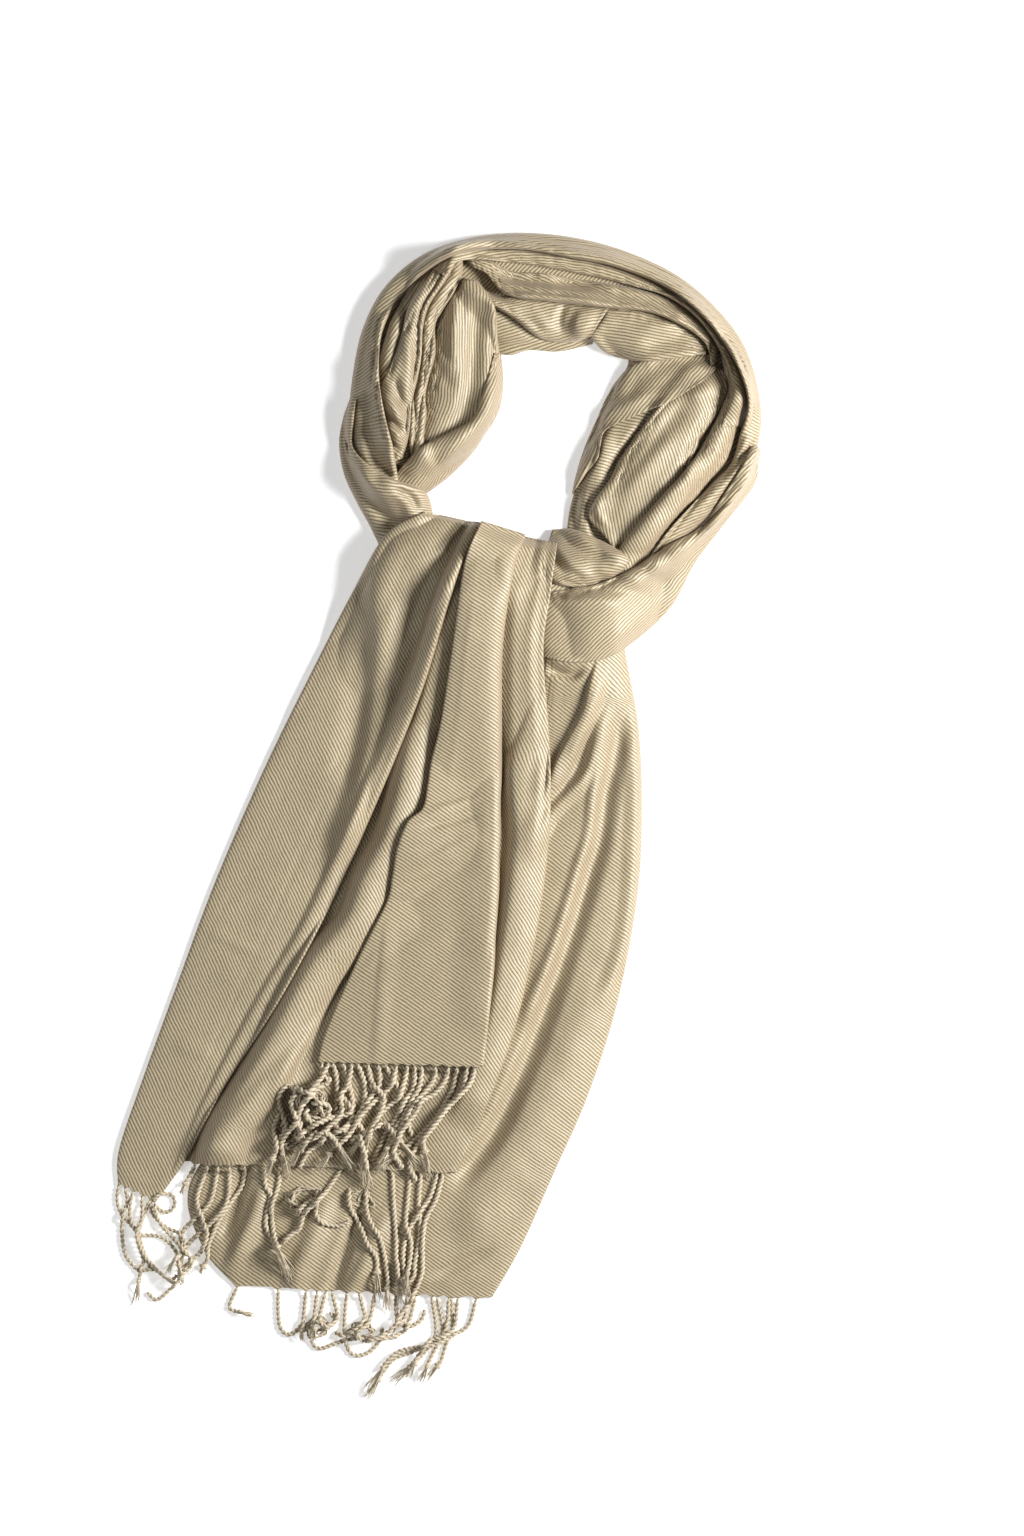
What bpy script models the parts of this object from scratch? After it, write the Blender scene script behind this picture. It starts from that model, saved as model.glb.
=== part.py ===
"""A pashmina shawl, tied in a loop with its two ends hanging together, and laid flat on a surface.

Run it with  blender --background --python part.py  or from Blender's text editor. Metres, +Z up.

The shawl is one oblong of thin twill with a twisted fringe on its two short ends. It is folded into a
loop, its ends cross, and the front end comes up through the loop and falls over the crossing. Each
stretch of cloth that shows is one panel. A panel is a thin wall lofted through the sections of its
table, and it lies on whatever is already on the heap, so the panels are made in the order in which
they lie. Where many hidden plies lie packed together, they are one rounded solid.

Tables are in millimetres: x to the right, y towards the top of the loop, from the middle of the laid
shawl. A section's left and right points are the two edges of the panel.
"""

import math
from collections import namedtuple

import bmesh
import bpy
import numpy as np
from mathutils import Matrix

MM = 0.001

# ---- driving sizes, in millimetres ----
WALL = 1.8  # a panel's wall
GAP = 0.35  # clear space between two pieces
REST = 1.0  # an underside nearer than this to its bed comes down onto it
SEATING = 2.4  # and from there this much further, where the bed spans a hollow
STRAND_LENGTH = 98.0
STRAND_WIDTH = 2.3
STRAND_END_WIDTH = 3.6  # the frayed tip below its knot
STRAND_STEPS = 6
ROOT_CLEAR = 5.0  # strands of one fringe run side by side this far from their roots
STRIP_WIDTH = 2.4  # the narrow strip that a fringe's strands grow from
STRIP_CLEAR = 0.4  # between the hem and that strip

# ---- the floor grid that the heap is measured on ----
CELL = 0.75
GRID_X = 620.0
GRID_Y = 1060.0

MATERIALS = {
    #          linear colour            roughness
    "twill": ((0.38, 0.31, 0.20, 1.0), 0.55),
    "hidden_plies": ((0.34, 0.28, 0.18, 1.0), 0.7),
    "twisted_fringe": ((0.36, 0.29, 0.19, 1.0), 0.65),
}

Panel = namedtuple("Panel", "name table folds edge fullness reach down across filled")
Fringe = namedtuple("Fringe", "name hem_of tassels seed")


def table(text):
    """Rows of numbers under a heading of column names."""
    lines = text.strip().splitlines()
    row = namedtuple("Row", lines[0].split())
    return [row(*map(float, line.split())) for line in lines[1:]]


# =====================================================================================
# Hidden plies, packed into rounded solids with a flat underside
# =====================================================================================

LOOP_CORE = table("""
    left_x left_y right_x right_y crest lean
    -56    264    -32     248      8    0.5
    -64    300    -4      280     10    0.5
    -60    345     40     336     12    0.5
    -50    390     42     370     12    0.5
    -17    437     40     390     12    0.5
     31    455     56     386     11    0.5
    110    455    104     388     11    0.5
    182    428    148     374     12    0.5
    230    382    144     352     12    0.5
    245    340    136     330     12    0.5
    244    300    122     294     12    0.5
    220    252    114     254     12    0.5
    188    222    110     224     11    0.5
""")

KNOT_CORE = table("""
    left_x left_y right_x right_y crest lean
    -44    216    -36     196     10    0.5
    -10    228      0     170     20    0.5
     40    222     44     154     24    0.5
     90    214     92     142     24    0.5
    140    214    134     148     18    0.5
    172    214    166     180      9    0.5
""")

# =====================================================================================
# The back end of the shawl, which lies on the surface
# =====================================================================================

BACK_TAIL = table("""
    left_x left_y right_x right_y crest lean
     86    176    144     172      9    0.6
     82    134    148     134     12    0.7
     72     82    158      78     15    0.7
     48     18    161      18     14    0.7
      0    -54    158     -54     12    0.75
    -64   -134    142    -142     11    0.75
   -138   -214    118    -218     10    0.8
   -198   -286     90    -282      9    0.8
   -190   -338     64    -340      8    0.75
   -162   -372     40    -382      6    0.7
""")

BACK_TAIL_FOLDS = table("""
    at_knot at_middle at_hem  rise_knot rise_middle rise_hem half_width
    0.80    0.83      0.77    -8        -11         -4       0.10
    0.93    0.94      0.92     2         6           3       0.10
    0.62    0.67      0.70     3         8           3       0.11
    0.46    0.57      0.62    -3        -8          -4       0.08
    0.38    0.40      0.44     3         5           7       0.09
    0.22    0.30      0.52    -1        -4          -7       0.08
    0.12    0.20      0.26     1         4           8       0.10
    0.05    0.09      0.10     0        -4          -7       0.08
""")

# =====================================================================================
# The front end of the shawl: an under ply that falls straight, a left panel and a top ply
# =====================================================================================

FRONT_UNDER_PLY = table("""
    left_x left_y right_x right_y crest lean
     30    236     93     222      5    0.6
      4    190     87     178      7    0.6
    -14    138     82     135      8    0.6
    -38     80     87      62      8    0.6
    -68      6     87      -6      8    0.6
   -106    -78     77     -86      7    0.6
   -146   -146     57    -172      6    0.6
   -186   -222     30    -242      5    0.6
   -209   -273     13    -281      4    0.5
""")

FRONT_UNDER_FOLDS = table("""
    at_knot at_middle at_hem  rise_knot rise_middle rise_hem half_width
    0.20    0.12      0.20    5         11          7        0.10
    0.38    0.26      0.32    -2        -3          -3       0.09
    0.93    0.94      0.93    3         3           2        0.09
    0.30    0.40      0.46    0         0           4        0.12
""")

FRONT_LEFT_PANEL = table("""
    left_x left_y right_x right_y crest lean
    -11    247     33     238      6    0.6
    -42    229     22     214     12    0.65
    -72    178      6     170     12    0.72
   -108    108    -14     106     11    0.78
   -143     36    -42      34      9    0.82
   -180    -50    -84     -58      7    0.82
   -209   -128   -126    -140      6    0.80
   -238   -208   -174    -214      5    0.75
   -256   -262   -204    -270      5    0.6
   -257   -290   -228    -304      4    0.5
""")

FRONT_LEFT_FOLDS = table("""
    at_knot at_middle at_hem  rise_knot rise_middle rise_hem half_width
    0.26    0.34      0.40    -9         2          0        0.16
    0.10    0.12      0.10     3         2          0        0.12
    0.88    0.90      0.88     2         4          1        0.12
""")

FRONT_TOP_PLY = table("""
    left_x left_y right_x right_y crest lean
     34    239     68     229      6    0.5
     21    206     59     202     10    0.5
     12    146     50     142     11    0.5
      2     82     49      70     10    0.55
    -12     24     48      14      9    0.6
    -38    -40     47     -46      7    0.6
    -66   -110     43    -114      5    0.6
    -90   -166     38    -162      4    0.6
    -97   -192     34    -196      4    0.5
""")

FRONT_TOP_FOLDS = table("""
    at_knot at_middle at_hem  rise_knot rise_middle rise_hem half_width
    0.90    0.92      0.93    1         3           2        0.09
    0.30    0.34      0.44    0        -2           1.5      0.16
""")

# =====================================================================================
# The crossing: the band that wraps it, and the small plies caught in it
# =====================================================================================

CROSS_BAND = table("""
    left_x left_y right_x right_y crest lean
    244    300    250    299      3    0.5
    240    288    253    286      5    0.5
    230    268    251    270      8    0.5
    206    234    228    238     10    0.45
    180    220    203    208     11    0.4
    153    201    184    172     12    0.35
    126    189    154    144     13    0.35
    100    185    128    130     12    0.35
     82    183    100     128      9    0.35
     62    184     76     134      6    0.4
""")

CROSS_TUFT = table("""
    left_x left_y right_x right_y crest lean
     90    234     82     212      7    0.5
    106    234     88     192     11    0.4
    126    226    110     186     12    0.4
    142    217    130     190     10    0.5
    152    209    146     200      5    0.5
""")

LOWER_LEFT_WRAP = table("""
    left_x left_y right_x right_y crest lean
    -66    345    -58    345      4    0.5
    -75    322    -62    322      6    0.5
    -80    302    -62    304      8    0.5
    -76    278    -52    286     10    0.5
    -66    256    -32    268     12    0.5
    -56    238    -14    254     12    0.5
    -46    218     -4    236     10    0.5
    -32    198      2    214      5    0.5
""")

# =====================================================================================
# The loop, from its inner plies to the roll round its outside
# =====================================================================================

LOOP_LOW_STRIP = table("""
    left_x left_y right_x right_y crest lean
     43    412     44     376      5    0.5
     62    402     56     373      6    0.5
     82    390     72     377      6    0.5
    102    388     96     376      6    0.5
    124    392    122     382      5    0.5
""")

LOOP_PINCH = table("""
    left_x left_y right_x right_y crest lean
     22    434     20     424      7    0.5
     42    422     40     412     11    0.5
     62    419     58     402     12    0.5
     84    418     80     386     10    0.5
    110    416    104     383      9    0.5
    136    412    120     387      8    0.5
""")

LOOP_INNER_TOP = table("""
    left_x left_y right_x right_y crest lean
    130    410    118     389      6    0.5
    150    411    134     374     10    0.5
    174    406    164     367     11    0.45
    198    396    192     370      9    0.45
    214    384    212     373      5    0.5
""")

LOOP_INNER_LEFT = table("""
    left_x left_y right_x right_y crest lean
     18    432     30     431      7    0.5
      4    410     43     411     10    0.6
     -3    386     46     382     12    0.7
     -8    358     50     356     13    0.72
    -13    330     47     330     13    0.75
    -16    306     32     306     10    0.7
    -20    288      8     286      5    0.5
""")

LOOP_INNER_LEFT_FOLDS = table("""
    at_knot at_middle at_hem  rise_knot rise_middle rise_hem half_width
    0.26    0.28      0.30    2         5           3        0.20
    0.50    0.54      0.52    -2       -6          -4        0.15
""")

LOOP_INNER_NECK = table("""
    left_x left_y right_x right_y crest lean
     34    344     50     350      6    0.5
     26    318     45     326     11    0.55
      8    306     30     301     13    0.55
    -10    300     12     281     13    0.5
    -24    286     -4     268     12    0.5
    -38    270    -22     256      7    0.5
""")

LOOP_LEFT_TROUGH = table("""
    left_x left_y right_x right_y crest lean
    -46    400    -32     404      6    0.5
    -50    370    -24     366      8    0.5
    -50    338    -22     336     10    0.5
    -46    308    -22     308     10    0.5
    -40    286    -26     284      7    0.5
""")

LOOP_LEFT_SEAM = table("""
    left_x left_y right_x right_y crest lean
     12    452     21     448      6    0.5
      5    428     16     420     10    0.5
    -11    410      4     404     11    0.5
    -15    384      0     382     12    0.45
    -17    356     -5     354     12    0.45
    -22    326    -11     324     11    0.5
    -22    302    -12     298      7    0.5
""")

LOOP_LEFT_PLEAT = table("""
    left_x left_y right_x right_y crest lean
      4    454     19     456      7    0.5
     -8    438      7     431     11    0.6
    -24    411     -9     413     12    0.6
    -31    386    -14     384     13    0.6
    -35    362    -17     356     12    0.6
    -34    338    -22     334      8    0.6
""")

LOOP_LEFT_THIN_FOLD = table("""
    left_x left_y right_x right_y crest lean
    -18    438    -12     434      5    0.5
    -28    420    -22     416      7    0.5
    -38    396    -32     392      8    0.5
    -43    370    -37     366      8    0.5
    -49    348    -45     346      5    0.5
""")

LOOP_RIGHT_PANEL = table("""
    left_x left_y right_x right_y crest lean
    194    354    228     360      7    0.5
    158    352    229     340     11    0.7
    130    322    220     316     13    0.75
    117    296    204     291     13    0.75
    110    270    187     266     12    0.7
    105    244    168     242      9    0.65
    100    222    150     219      5    0.5
""")

LOOP_RIGHT_PANEL_FOLDS = table("""
    at_knot at_middle at_hem  rise_knot rise_middle rise_hem half_width
    0.20    0.16      0.20    0        -4          -2        0.16
    0.48    0.46      0.55    0         2          -3        0.18
""")

LOOP_RIGHT_FLAP = table("""
    left_x left_y right_x right_y crest lean
    210    374    220     362      4    0.5
    176    369    207     349      7    0.4
    148    363    181     332      9    0.35
    133    340    158     321      9    0.35
    123    318    138     308      8    0.4
    115    297    128     296      8    0.5
    109    276    119     276      7    0.5
    104    250    112     252      4    0.5
""")

LOOP_RIGHT_RIDGE = table("""
    left_x left_y right_x right_y crest lean
    229    346    247     346      6    0.5
    220    328    244     330     12    0.5
    206    306    237     306     14    0.5
    194    283    230     281     14    0.5
    173    258    210     260     13    0.5
    153    234    188     236     10    0.5
    140    216    168     216      5    0.5
""")

LOOP_THIRD_ROLL = table("""
    left_x left_y right_x right_y crest lean
     18    453     26     443      7    0.5
     38    449     37     437     10    0.6
     58    440     53     420     12    0.7
     84    438     84     415     13    0.7
    128    431    128     410     13    0.7
    164    424    166     406     12    0.65
    192    415    193     395     12    0.6
    212    401    208     385     10    0.5
    221    384    214     376      7    0.5
    222    366    216     364      4    0.5
""")

LOOP_SECOND_ROLL = table("""
    left_x left_y right_x right_y crest lean
     -4    440      4     434      5    0.5
     10    457     18     447      7    0.5
     48    462     52     447      9    0.5
     84    457     84     443      9    0.6
    130    449    129     434      9    0.6
    162    438    159     426      9    0.6
    188    426    182     418      9    0.5
    210    408    204     402     10    0.5
    229    382    221     378     12    0.5
    244    356    231     350     13    0.6
    247    336    234     330      8    0.5
    247    320    238     316      4    0.5
""")

LOOP_OUTER_ROLL = table("""
    left_x left_y right_x right_y crest lean
    -16    244    -4      252      6    0.5
    -34    258    -20     264      9    0.5
    -55    274    -36     276     11    0.5
    -68    294    -39     294     12    0.55
    -73    322    -43     322     12    0.55
    -70    356    -48     354     13    0.55
    -62    394    -46     388     14    0.5
    -44    428    -32     418     15    0.5
    -13    454     -5     442     15    0.5
     26    467     28     455     15    0.5
     68    471     67     456     15    0.5
    110    467    106     449     15    0.5
    150    456    140     442     15    0.5
    190    437    180     426     15    0.5
    222    410    210     401     15    0.5
    245    378    232     371     15    0.5
    256    338    244     335     15    0.5
    255    308    237     308     14    0.5
    248    284    230     286     12    0.5
    234    264    216     268     11    0.5
    216    244    198     250     10    0.5
    198    224    180     230      8    0.5
""")

NO_FOLDS = []

# In the order in which they lie, the lowest first.
PANELS = [
    #     name                table             folds                 edge full reach down across filled
    Panel("loop_core", LOOP_CORE, NO_FOLDS, 3.0, 2.0, 1.5, 26, 5, True),
    Panel("knot_core", KNOT_CORE, NO_FOLDS, 3.0, 2.0, 1.5, 9, 6, True),
    Panel("back_tail", BACK_TAIL, BACK_TAIL_FOLDS, 2.4, 2.6, 1.5, 20, 22, False),
    Panel("loop_low_strip", LOOP_LOW_STRIP, NO_FOLDS, 2.4, 2.0, 1.5, 6, 4, False),
    Panel("loop_inner_top", LOOP_INNER_TOP, NO_FOLDS, 2.4, 2.0, 1.5, 8, 6, False),
    Panel("loop_pinch", LOOP_PINCH, NO_FOLDS, 2.4, 2.0, 1.5, 8, 5, False),
    Panel("loop_left_trough", LOOP_LEFT_TROUGH, NO_FOLDS, 2.4, 2.0, 1.5, 8, 5, False),
    Panel("loop_inner_neck", LOOP_INNER_NECK, NO_FOLDS, 2.4, 2.0, 1.5, 8, 5, False),
    Panel("loop_inner_left", LOOP_INNER_LEFT, LOOP_INNER_LEFT_FOLDS, 2.4, 2.4, 1.5, 10, 10, False),
    Panel("loop_left_seam", LOOP_LEFT_SEAM, NO_FOLDS, 2.4, 2.0, 1.5, 10, 4, False),
    Panel("loop_left_thin_fold", LOOP_LEFT_THIN_FOLD, NO_FOLDS, 2.4, 2.0, 1.5, 7, 3, False),
    Panel("loop_left_pleat", LOOP_LEFT_PLEAT, NO_FOLDS, 2.4, 2.0, 1.5, 9, 5, False),
    Panel("loop_right_panel", LOOP_RIGHT_PANEL, LOOP_RIGHT_PANEL_FOLDS, 2.4, 2.4, 1.5, 10, 8, False),
    Panel("loop_right_flap", LOOP_RIGHT_FLAP, NO_FOLDS, 2.2, 2.4, 1.5, 10, 5, False),
    Panel("loop_right_ridge", LOOP_RIGHT_RIDGE, NO_FOLDS, 2.4, 2.0, 1.5, 10, 5, False),
    Panel("lower_left_wrap", LOWER_LEFT_WRAP, NO_FOLDS, 2.4, 2.0, 1.5, 9, 5, False),
    Panel("loop_third_roll", LOOP_THIRD_ROLL, NO_FOLDS, 2.4, 2.0, 1.5, 14, 5, False),
    Panel("loop_second_roll", LOOP_SECOND_ROLL, NO_FOLDS, 2.4, 2.0, 1.5, 16, 5, False),
    Panel("loop_outer_roll", LOOP_OUTER_ROLL, NO_FOLDS, 2.4, 2.0, 1.5, 40, 8, False),
    Panel("cross_tuft", CROSS_TUFT, NO_FOLDS, 2.4, 2.0, 1.5, 6, 5, False),
    Panel("cross_band", CROSS_BAND, NO_FOLDS, 2.4, 2.2, 3.0, 14, 7, False),
    Panel("front_under_ply", FRONT_UNDER_PLY, FRONT_UNDER_FOLDS, 2.4, 2.6, 4.5, 18, 14, False),
    Panel("front_left_panel", FRONT_LEFT_PANEL, FRONT_LEFT_FOLDS, 2.4, 2.6, 4.5, 20, 9, False),
    Panel("front_top_ply", FRONT_TOP_PLY, FRONT_TOP_FOLDS, 2.4, 2.6, 4.5, 16, 9, False),
]


# =====================================================================================
# Fringes: the strands of a tassel leave the hem between two shares of its length, from the left,
# and end round one spot
# =====================================================================================

BACK_FRINGE = table("""
    strands hem_from hem_to end_x end_y spread
    2       0.05     0.12   -128  -398  6
    3       0.16     0.26   -112  -412  7
    3       0.30     0.40   -80   -414  9
    3       0.44     0.54   -62   -424  9
    3       0.58     0.66   -60   -464  6
    3       0.70     0.78   -42   -450  7
    3       0.82     0.89   -20   -444  7
    2       0.93     0.98   -8    -436  6
""")

UNDER_FRINGE = table("""
    strands hem_from hem_to end_x end_y spread
    3       0.02     0.10   -204  -356  8
    3       0.14     0.24   -192  -364  5
    3       0.32     0.42   -128  -368  6
    3       0.50     0.62   -58   -362  6
    3       0.68     0.80   -42   -374  7
    3       0.86     0.98   -24   -372  7
""")

LEFT_FRINGE = table("""
    strands hem_from hem_to end_x end_y spread
    2       0.06     0.26   -230  -390  4
    2       0.44     0.62   -216  -376  5
    2       0.78     0.96   -200  -364  6
""")

TOP_FRINGE = table("""
    strands hem_from hem_to end_x end_y spread
    4       0.03     0.20   -122  -250  16
    4       0.26     0.42   -112  -286  14
    4       0.48     0.64   -74   -290  12
    3       0.70     0.82   -62   -282  10
    3       0.88     0.98   -30   -286  8
""")

FRINGES = [
    Fringe("back_fringe", "back_tail", BACK_FRINGE, 3),
    Fringe("front_under_fringe", "front_under_ply", UNDER_FRINGE, 5),
    Fringe("front_left_fringe", "front_left_panel", LEFT_FRINGE, 8),
    Fringe("front_top_fringe", "front_top_ply", TOP_FRINGE, 2),
]


# =====================================================================================
# Curves and profiles
# =====================================================================================


def spline(rows, count):
    """count points along a Catmull-Rom curve through the rows."""
    rows = np.asarray(rows, float)
    before = 2 * rows[0] - rows[1]
    after = 2 * rows[-1] - rows[-2]
    ends = np.vstack([before, rows, after])
    place = np.linspace(0, len(rows) - 1, count)
    k = np.minimum(place.astype(int), len(rows) - 2)
    f = (place - k)[:, None]
    a, b, c, d = (ends[k + i] for i in range(4))
    return 0.5 * (2 * b + (c - a) * f + (2 * a - 5 * b + 4 * c - d) * f**2 + (3 * b - a - 3 * c + d) * f**3)


def through_three(start, middle, end, t):
    """The curve through three values at t = 0, 0.5 and 1."""
    return start * (1 - t) * (1 - 2 * t) + 4 * middle * t * (1 - t) + end * t * (2 * t - 1)


def crowned(share, fullness):
    """0 at an edge, rising upright from it, to 1 at the crest. More fullness gives a flatter top."""
    return (1 - (1 - np.clip(share, 0, 1)) ** fullness) ** (1 / fullness)


# =====================================================================================
# The heap: the height of all that is laid so far
# =====================================================================================


NEXT_CELLS = [(0, 1), (0, -1), (1, 0), (-1, 0), (1, 1), (1, -1), (-1, 1), (-1, -1)]


def widened(height, cells):
    """Each cell takes the highest value within about that many cells of it."""
    wide = height.copy()
    for step in range(cells):
        height = wide.copy()
        for r, c in NEXT_CELLS if step % 2 else NEXT_CELLS[:4]:
            np.maximum(wide, np.roll(height, (r, c), (0, 1)), out=wide)
    return wide


def softened(height, cells):
    """Each cell takes the mean over a square round it."""
    for axis in (0, 1):
        total = sum(np.roll(height, step, axis) for step in range(-cells, cells + 1))
        height = total / (2 * cells + 1)
    return height


class Heap:
    def __init__(self, height):
        self.height = height

    def place(self, x, y):
        """Where points lie on the grid, counted in cells."""
        return (y + GRID_Y / 2) / CELL, (x + GRID_X / 2) / CELL

    def bed(self, reach):
        """A soft surface that nowhere lies below the heap. It spans hollows up to 4 reaches wide."""
        cells = round(reach / CELL)
        bed = widened(self.height, 2 * cells)
        return softened(softened(bed, cells), cells)

    def read(self, grid, x, y):
        """The grid's value at each point, between its cells."""
        row, col = self.place(x, y)
        row = np.clip(row, 0, grid.shape[0] - 2)
        col = np.clip(col, 0, grid.shape[1] - 2)
        r, c = row.astype(int), col.astype(int)
        fr, fc = row - r, col - c
        low = grid[r, c] * (1 - fc) + grid[r, c + 1] * fc
        high = grid[r + 1, c] * (1 - fc) + grid[r + 1, c + 1] * fc
        return low * (1 - fr) + high * fr

    def short_of(self, points, triangles, root=None):
        """How far each triangle would have to rise to clear the heap, or below 0 what it has to spare.

        Close to a root, nothing is short.
        """
        spots = spread_over(points, triangles)
        row, col = self.place(spots[..., 0], spots[..., 1])
        r, c = row.astype(int), col.astype(int)
        under = np.maximum.reduce([self.height[r + i, c + j] for i in (0, 1) for j in (0, 1)])
        short = np.where(under > 0, under + GAP, 0) - spots[..., 2]
        if root is not None:
            near_root = np.linalg.norm(spots[..., :2] - root, axis=-1) < ROOT_CLEAR
            short[near_root] = np.minimum(short[near_root], 0)
        return short.max(axis=1)


    def add(self, points, triangles):
        spots = spread_over(points, triangles, CELL / 2).reshape(-1, 3)
        row, col = self.place(spots[:, 0], spots[:, 1])
        np.maximum.at(self.height, (np.round(row).astype(int), np.round(col).astype(int)), spots[:, 2])


def most_at_corners(values, triangles, count):
    """For each point, the greatest value of the triangles that meet there."""
    most = np.full(count, -np.inf)
    for corner in range(3):
        np.maximum.at(most, triangles[:, corner], values)
    return most


def spread_over(points, triangles, apart=CELL):
    """Points spread over each triangle, no further apart than given."""
    corners = points[triangles]
    longest = np.linalg.norm(corners - np.roll(corners, 1, axis=1), axis=2).max()
    n = max(1, math.ceil(longest / apart))
    i, j = np.meshgrid(np.arange(n + 1), np.arange(n + 1), indexing="ij")
    keep = i + j <= n
    shares = np.stack([i[keep], j[keep], n - i[keep] - j[keep]], axis=1) / n
    return shares @ corners


# =====================================================================================
# Panels
# =====================================================================================


def panel_relief(panel, down, across):
    """The panel's plan points and their height above what lies under it, as grids."""
    sections = spline(panel.table, down + 1)
    turn = np.linspace(0, math.pi, across + 1)
    w = (1 - np.cos(turn)) / 2
    w = 0.6 * w + 0.4 * np.linspace(0, 1, across + 1)  # closer together near the edges
    t = np.linspace(0, 1, down + 1)[:, None]
    left_x, left_y, right_x, right_y, crest, lean = (sections[:, [i]] for i in range(6))
    x = left_x + (right_x - left_x) * w
    y = left_y + (right_y - left_y) * w
    share = np.where(w < lean, w / lean, (1 - w) / (1 - lean))
    relief = panel.edge + (crest - panel.edge) * crowned(share, panel.fullness)
    for fold in panel.folds:
        at = through_three(fold.at_knot, fold.at_middle, fold.at_hem, t)
        rise = through_three(fold.rise_knot, fold.rise_middle, fold.rise_hem, t)
        near = np.clip(np.abs(w - at) / fold.half_width, 0, 1)
        relief = relief + rise * (1 + np.cos(math.pi * near)) / 2 * crowned(share, 2)
    return x, y, np.maximum(relief, panel.edge)


def both_splits(a, b, c, d):
    """The triangles that four-sided faces have, whichever of their diagonals they are split along."""
    return np.concatenate([np.stack(three, 1) for three in ((a, b, c), (a, c, d), (a, b, d), (b, c, d))])


def grid_triangles(rows, cols):
    """The triangles of a grid of points, counted row by row."""
    corner = (np.arange(rows - 1)[:, None] * cols + np.arange(cols - 1)).reshape(-1)
    return both_splits(corner, corner + 1, corner + cols + 1, corner + cols)


def lay_panel(panel, heap):
    """The panel's top face and underside, as grids of points that lie clear of the heap."""
    x, y, relief = panel_relief(panel, panel.down, panel.across)
    bed = heap.read(heap.bed(panel.reach), x, y)
    lowest = np.where(bed > 0, bed + GAP, 0)
    top = np.stack([x, y, lowest + relief], axis=-1)
    if panel.filled:
        under = np.stack([x, y, lowest], axis=-1)
    else:
        normal = np.cross(np.gradient(top, axis=1), np.gradient(top, axis=0))
        normal /= np.linalg.norm(normal, axis=2, keepdims=True)
        normal *= np.sign(normal[..., 2:])
        under = top - WALL * normal
        under[[0, -1], :, :2] = top[[0, -1], :, :2]
    resting = under[..., 2] < lowest + REST
    under[..., 2] = np.where(resting, lowest, under[..., 2])
    shape = x.shape
    triangles = grid_triangles(*shape)
    for _ in range(8):
        short = heap.short_of(under.reshape(-1, 3), triangles)
        if short.max() < 0.02:
            break
        rise = np.maximum(most_at_corners(short, triangles, x.size), 0).reshape(shape)
        top[..., 2] += rise
        under[..., 2] += rise
    spare = -most_at_corners(heap.short_of(under.reshape(-1, 3), triangles), triangles, x.size)
    spare = np.maximum(spare.reshape(shape), 0)
    top[..., 2] -= spare.min()
    under[..., 2] -= spare.min() + np.where(resting, np.minimum(spare - spare.min(), SEATING), 0)
    heap.add(top.reshape(-1, 3), triangles)
    return top, under


def rim_of(rows, cols):
    """The indices round the edge of a grid of points, in order."""
    first = [(0, c) for c in range(cols)]
    second = [(r, cols - 1) for r in range(1, rows)]
    third = [(rows - 1, c) for c in range(cols - 2, -1, -1)]
    fourth = [(r, 0) for r in range(rows - 2, 0, -1)]
    return [r * cols + c for r, c in first + second + third + fourth]


def closed_wall(name, top, under, material, collection):
    """A mesh object with a top face, an underside and a rim between them."""
    rows, cols = top.shape[:2]
    bm = bmesh.new()
    faces = []
    for points in (top, under):
        made = bmesh.ops.create_grid(bm, x_segments=cols - 1, y_segments=rows - 1, size=0.5)
        for vertex, point in zip(made["verts"], points.reshape(-1, 3)):
            vertex.co = point * MM
        faces.append(made["verts"])
    rim = rim_of(rows, cols)
    for a, b in zip(rim, rim[1:] + rim[:1]):
        bm.faces.new((faces[0][a], faces[0][b], faces[1][b], faces[1][a]))
    return finished(bm, name, material, collection)


def finished(bm, name, material, collection):
    bmesh.ops.recalc_face_normals(bm, faces=bm.faces)
    bmesh.ops.triangulate(bm, faces=bm.faces)
    mesh = bpy.data.meshes.new(name)
    bm.to_mesh(mesh)
    bm.free()
    mesh.shade_smooth()
    mesh.materials.append(material)
    piece = bpy.data.objects.new(name, mesh)
    collection.objects.link(piece)
    return piece


# =====================================================================================
# Fringes
# =====================================================================================


def strand_path(root, way, end, rng):
    """Plan points of one strand: it leaves the hem along way and wanders to its end."""
    t = np.linspace(0, 1, 60)[:, None]
    reach = np.linalg.norm(end - root)
    pull = way * 0.45 * STRAND_LENGTH
    path = root * (1 - t) ** 2 * (1 + 2 * t) + end * t**2 * (3 - 2 * t) + pull * t * (1 - t) ** 2
    slack = STRAND_LENGTH * rng.uniform(0.94, 1.03) - np.linalg.norm(np.diff(path, axis=0), axis=1).sum()
    slack = max(slack, 0)
    across = np.array([-(end - root)[1], (end - root)[0]]) / reach
    waves = 1 if slack > 0.2 * STRAND_LENGTH else 2
    bow = 2 / math.pi / waves * math.sqrt(reach * slack) * rng.choice([-1, 1])
    path = path + across * bow * np.sin(math.pi * waves * t) * t**0.5
    ahead = (path - root) @ way
    path = path + np.outer(np.maximum(8 * t[:, 0] - ahead, 0), way)
    run = np.concatenate([[0], np.cumsum(np.linalg.norm(np.diff(path, axis=0), axis=1))])
    at = np.linspace(0, run[-1], STRAND_STEPS + 1)
    return np.stack([np.interp(at, run, path[:, axis]) for axis in (0, 1)], axis=1)


def strand_widths():
    """The width at each ring of a strand, which frays out just above its tip."""
    widths = np.full(STRAND_STEPS + 1, STRAND_WIDTH)
    widths[-2] = STRAND_END_WIDTH
    return widths


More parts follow.
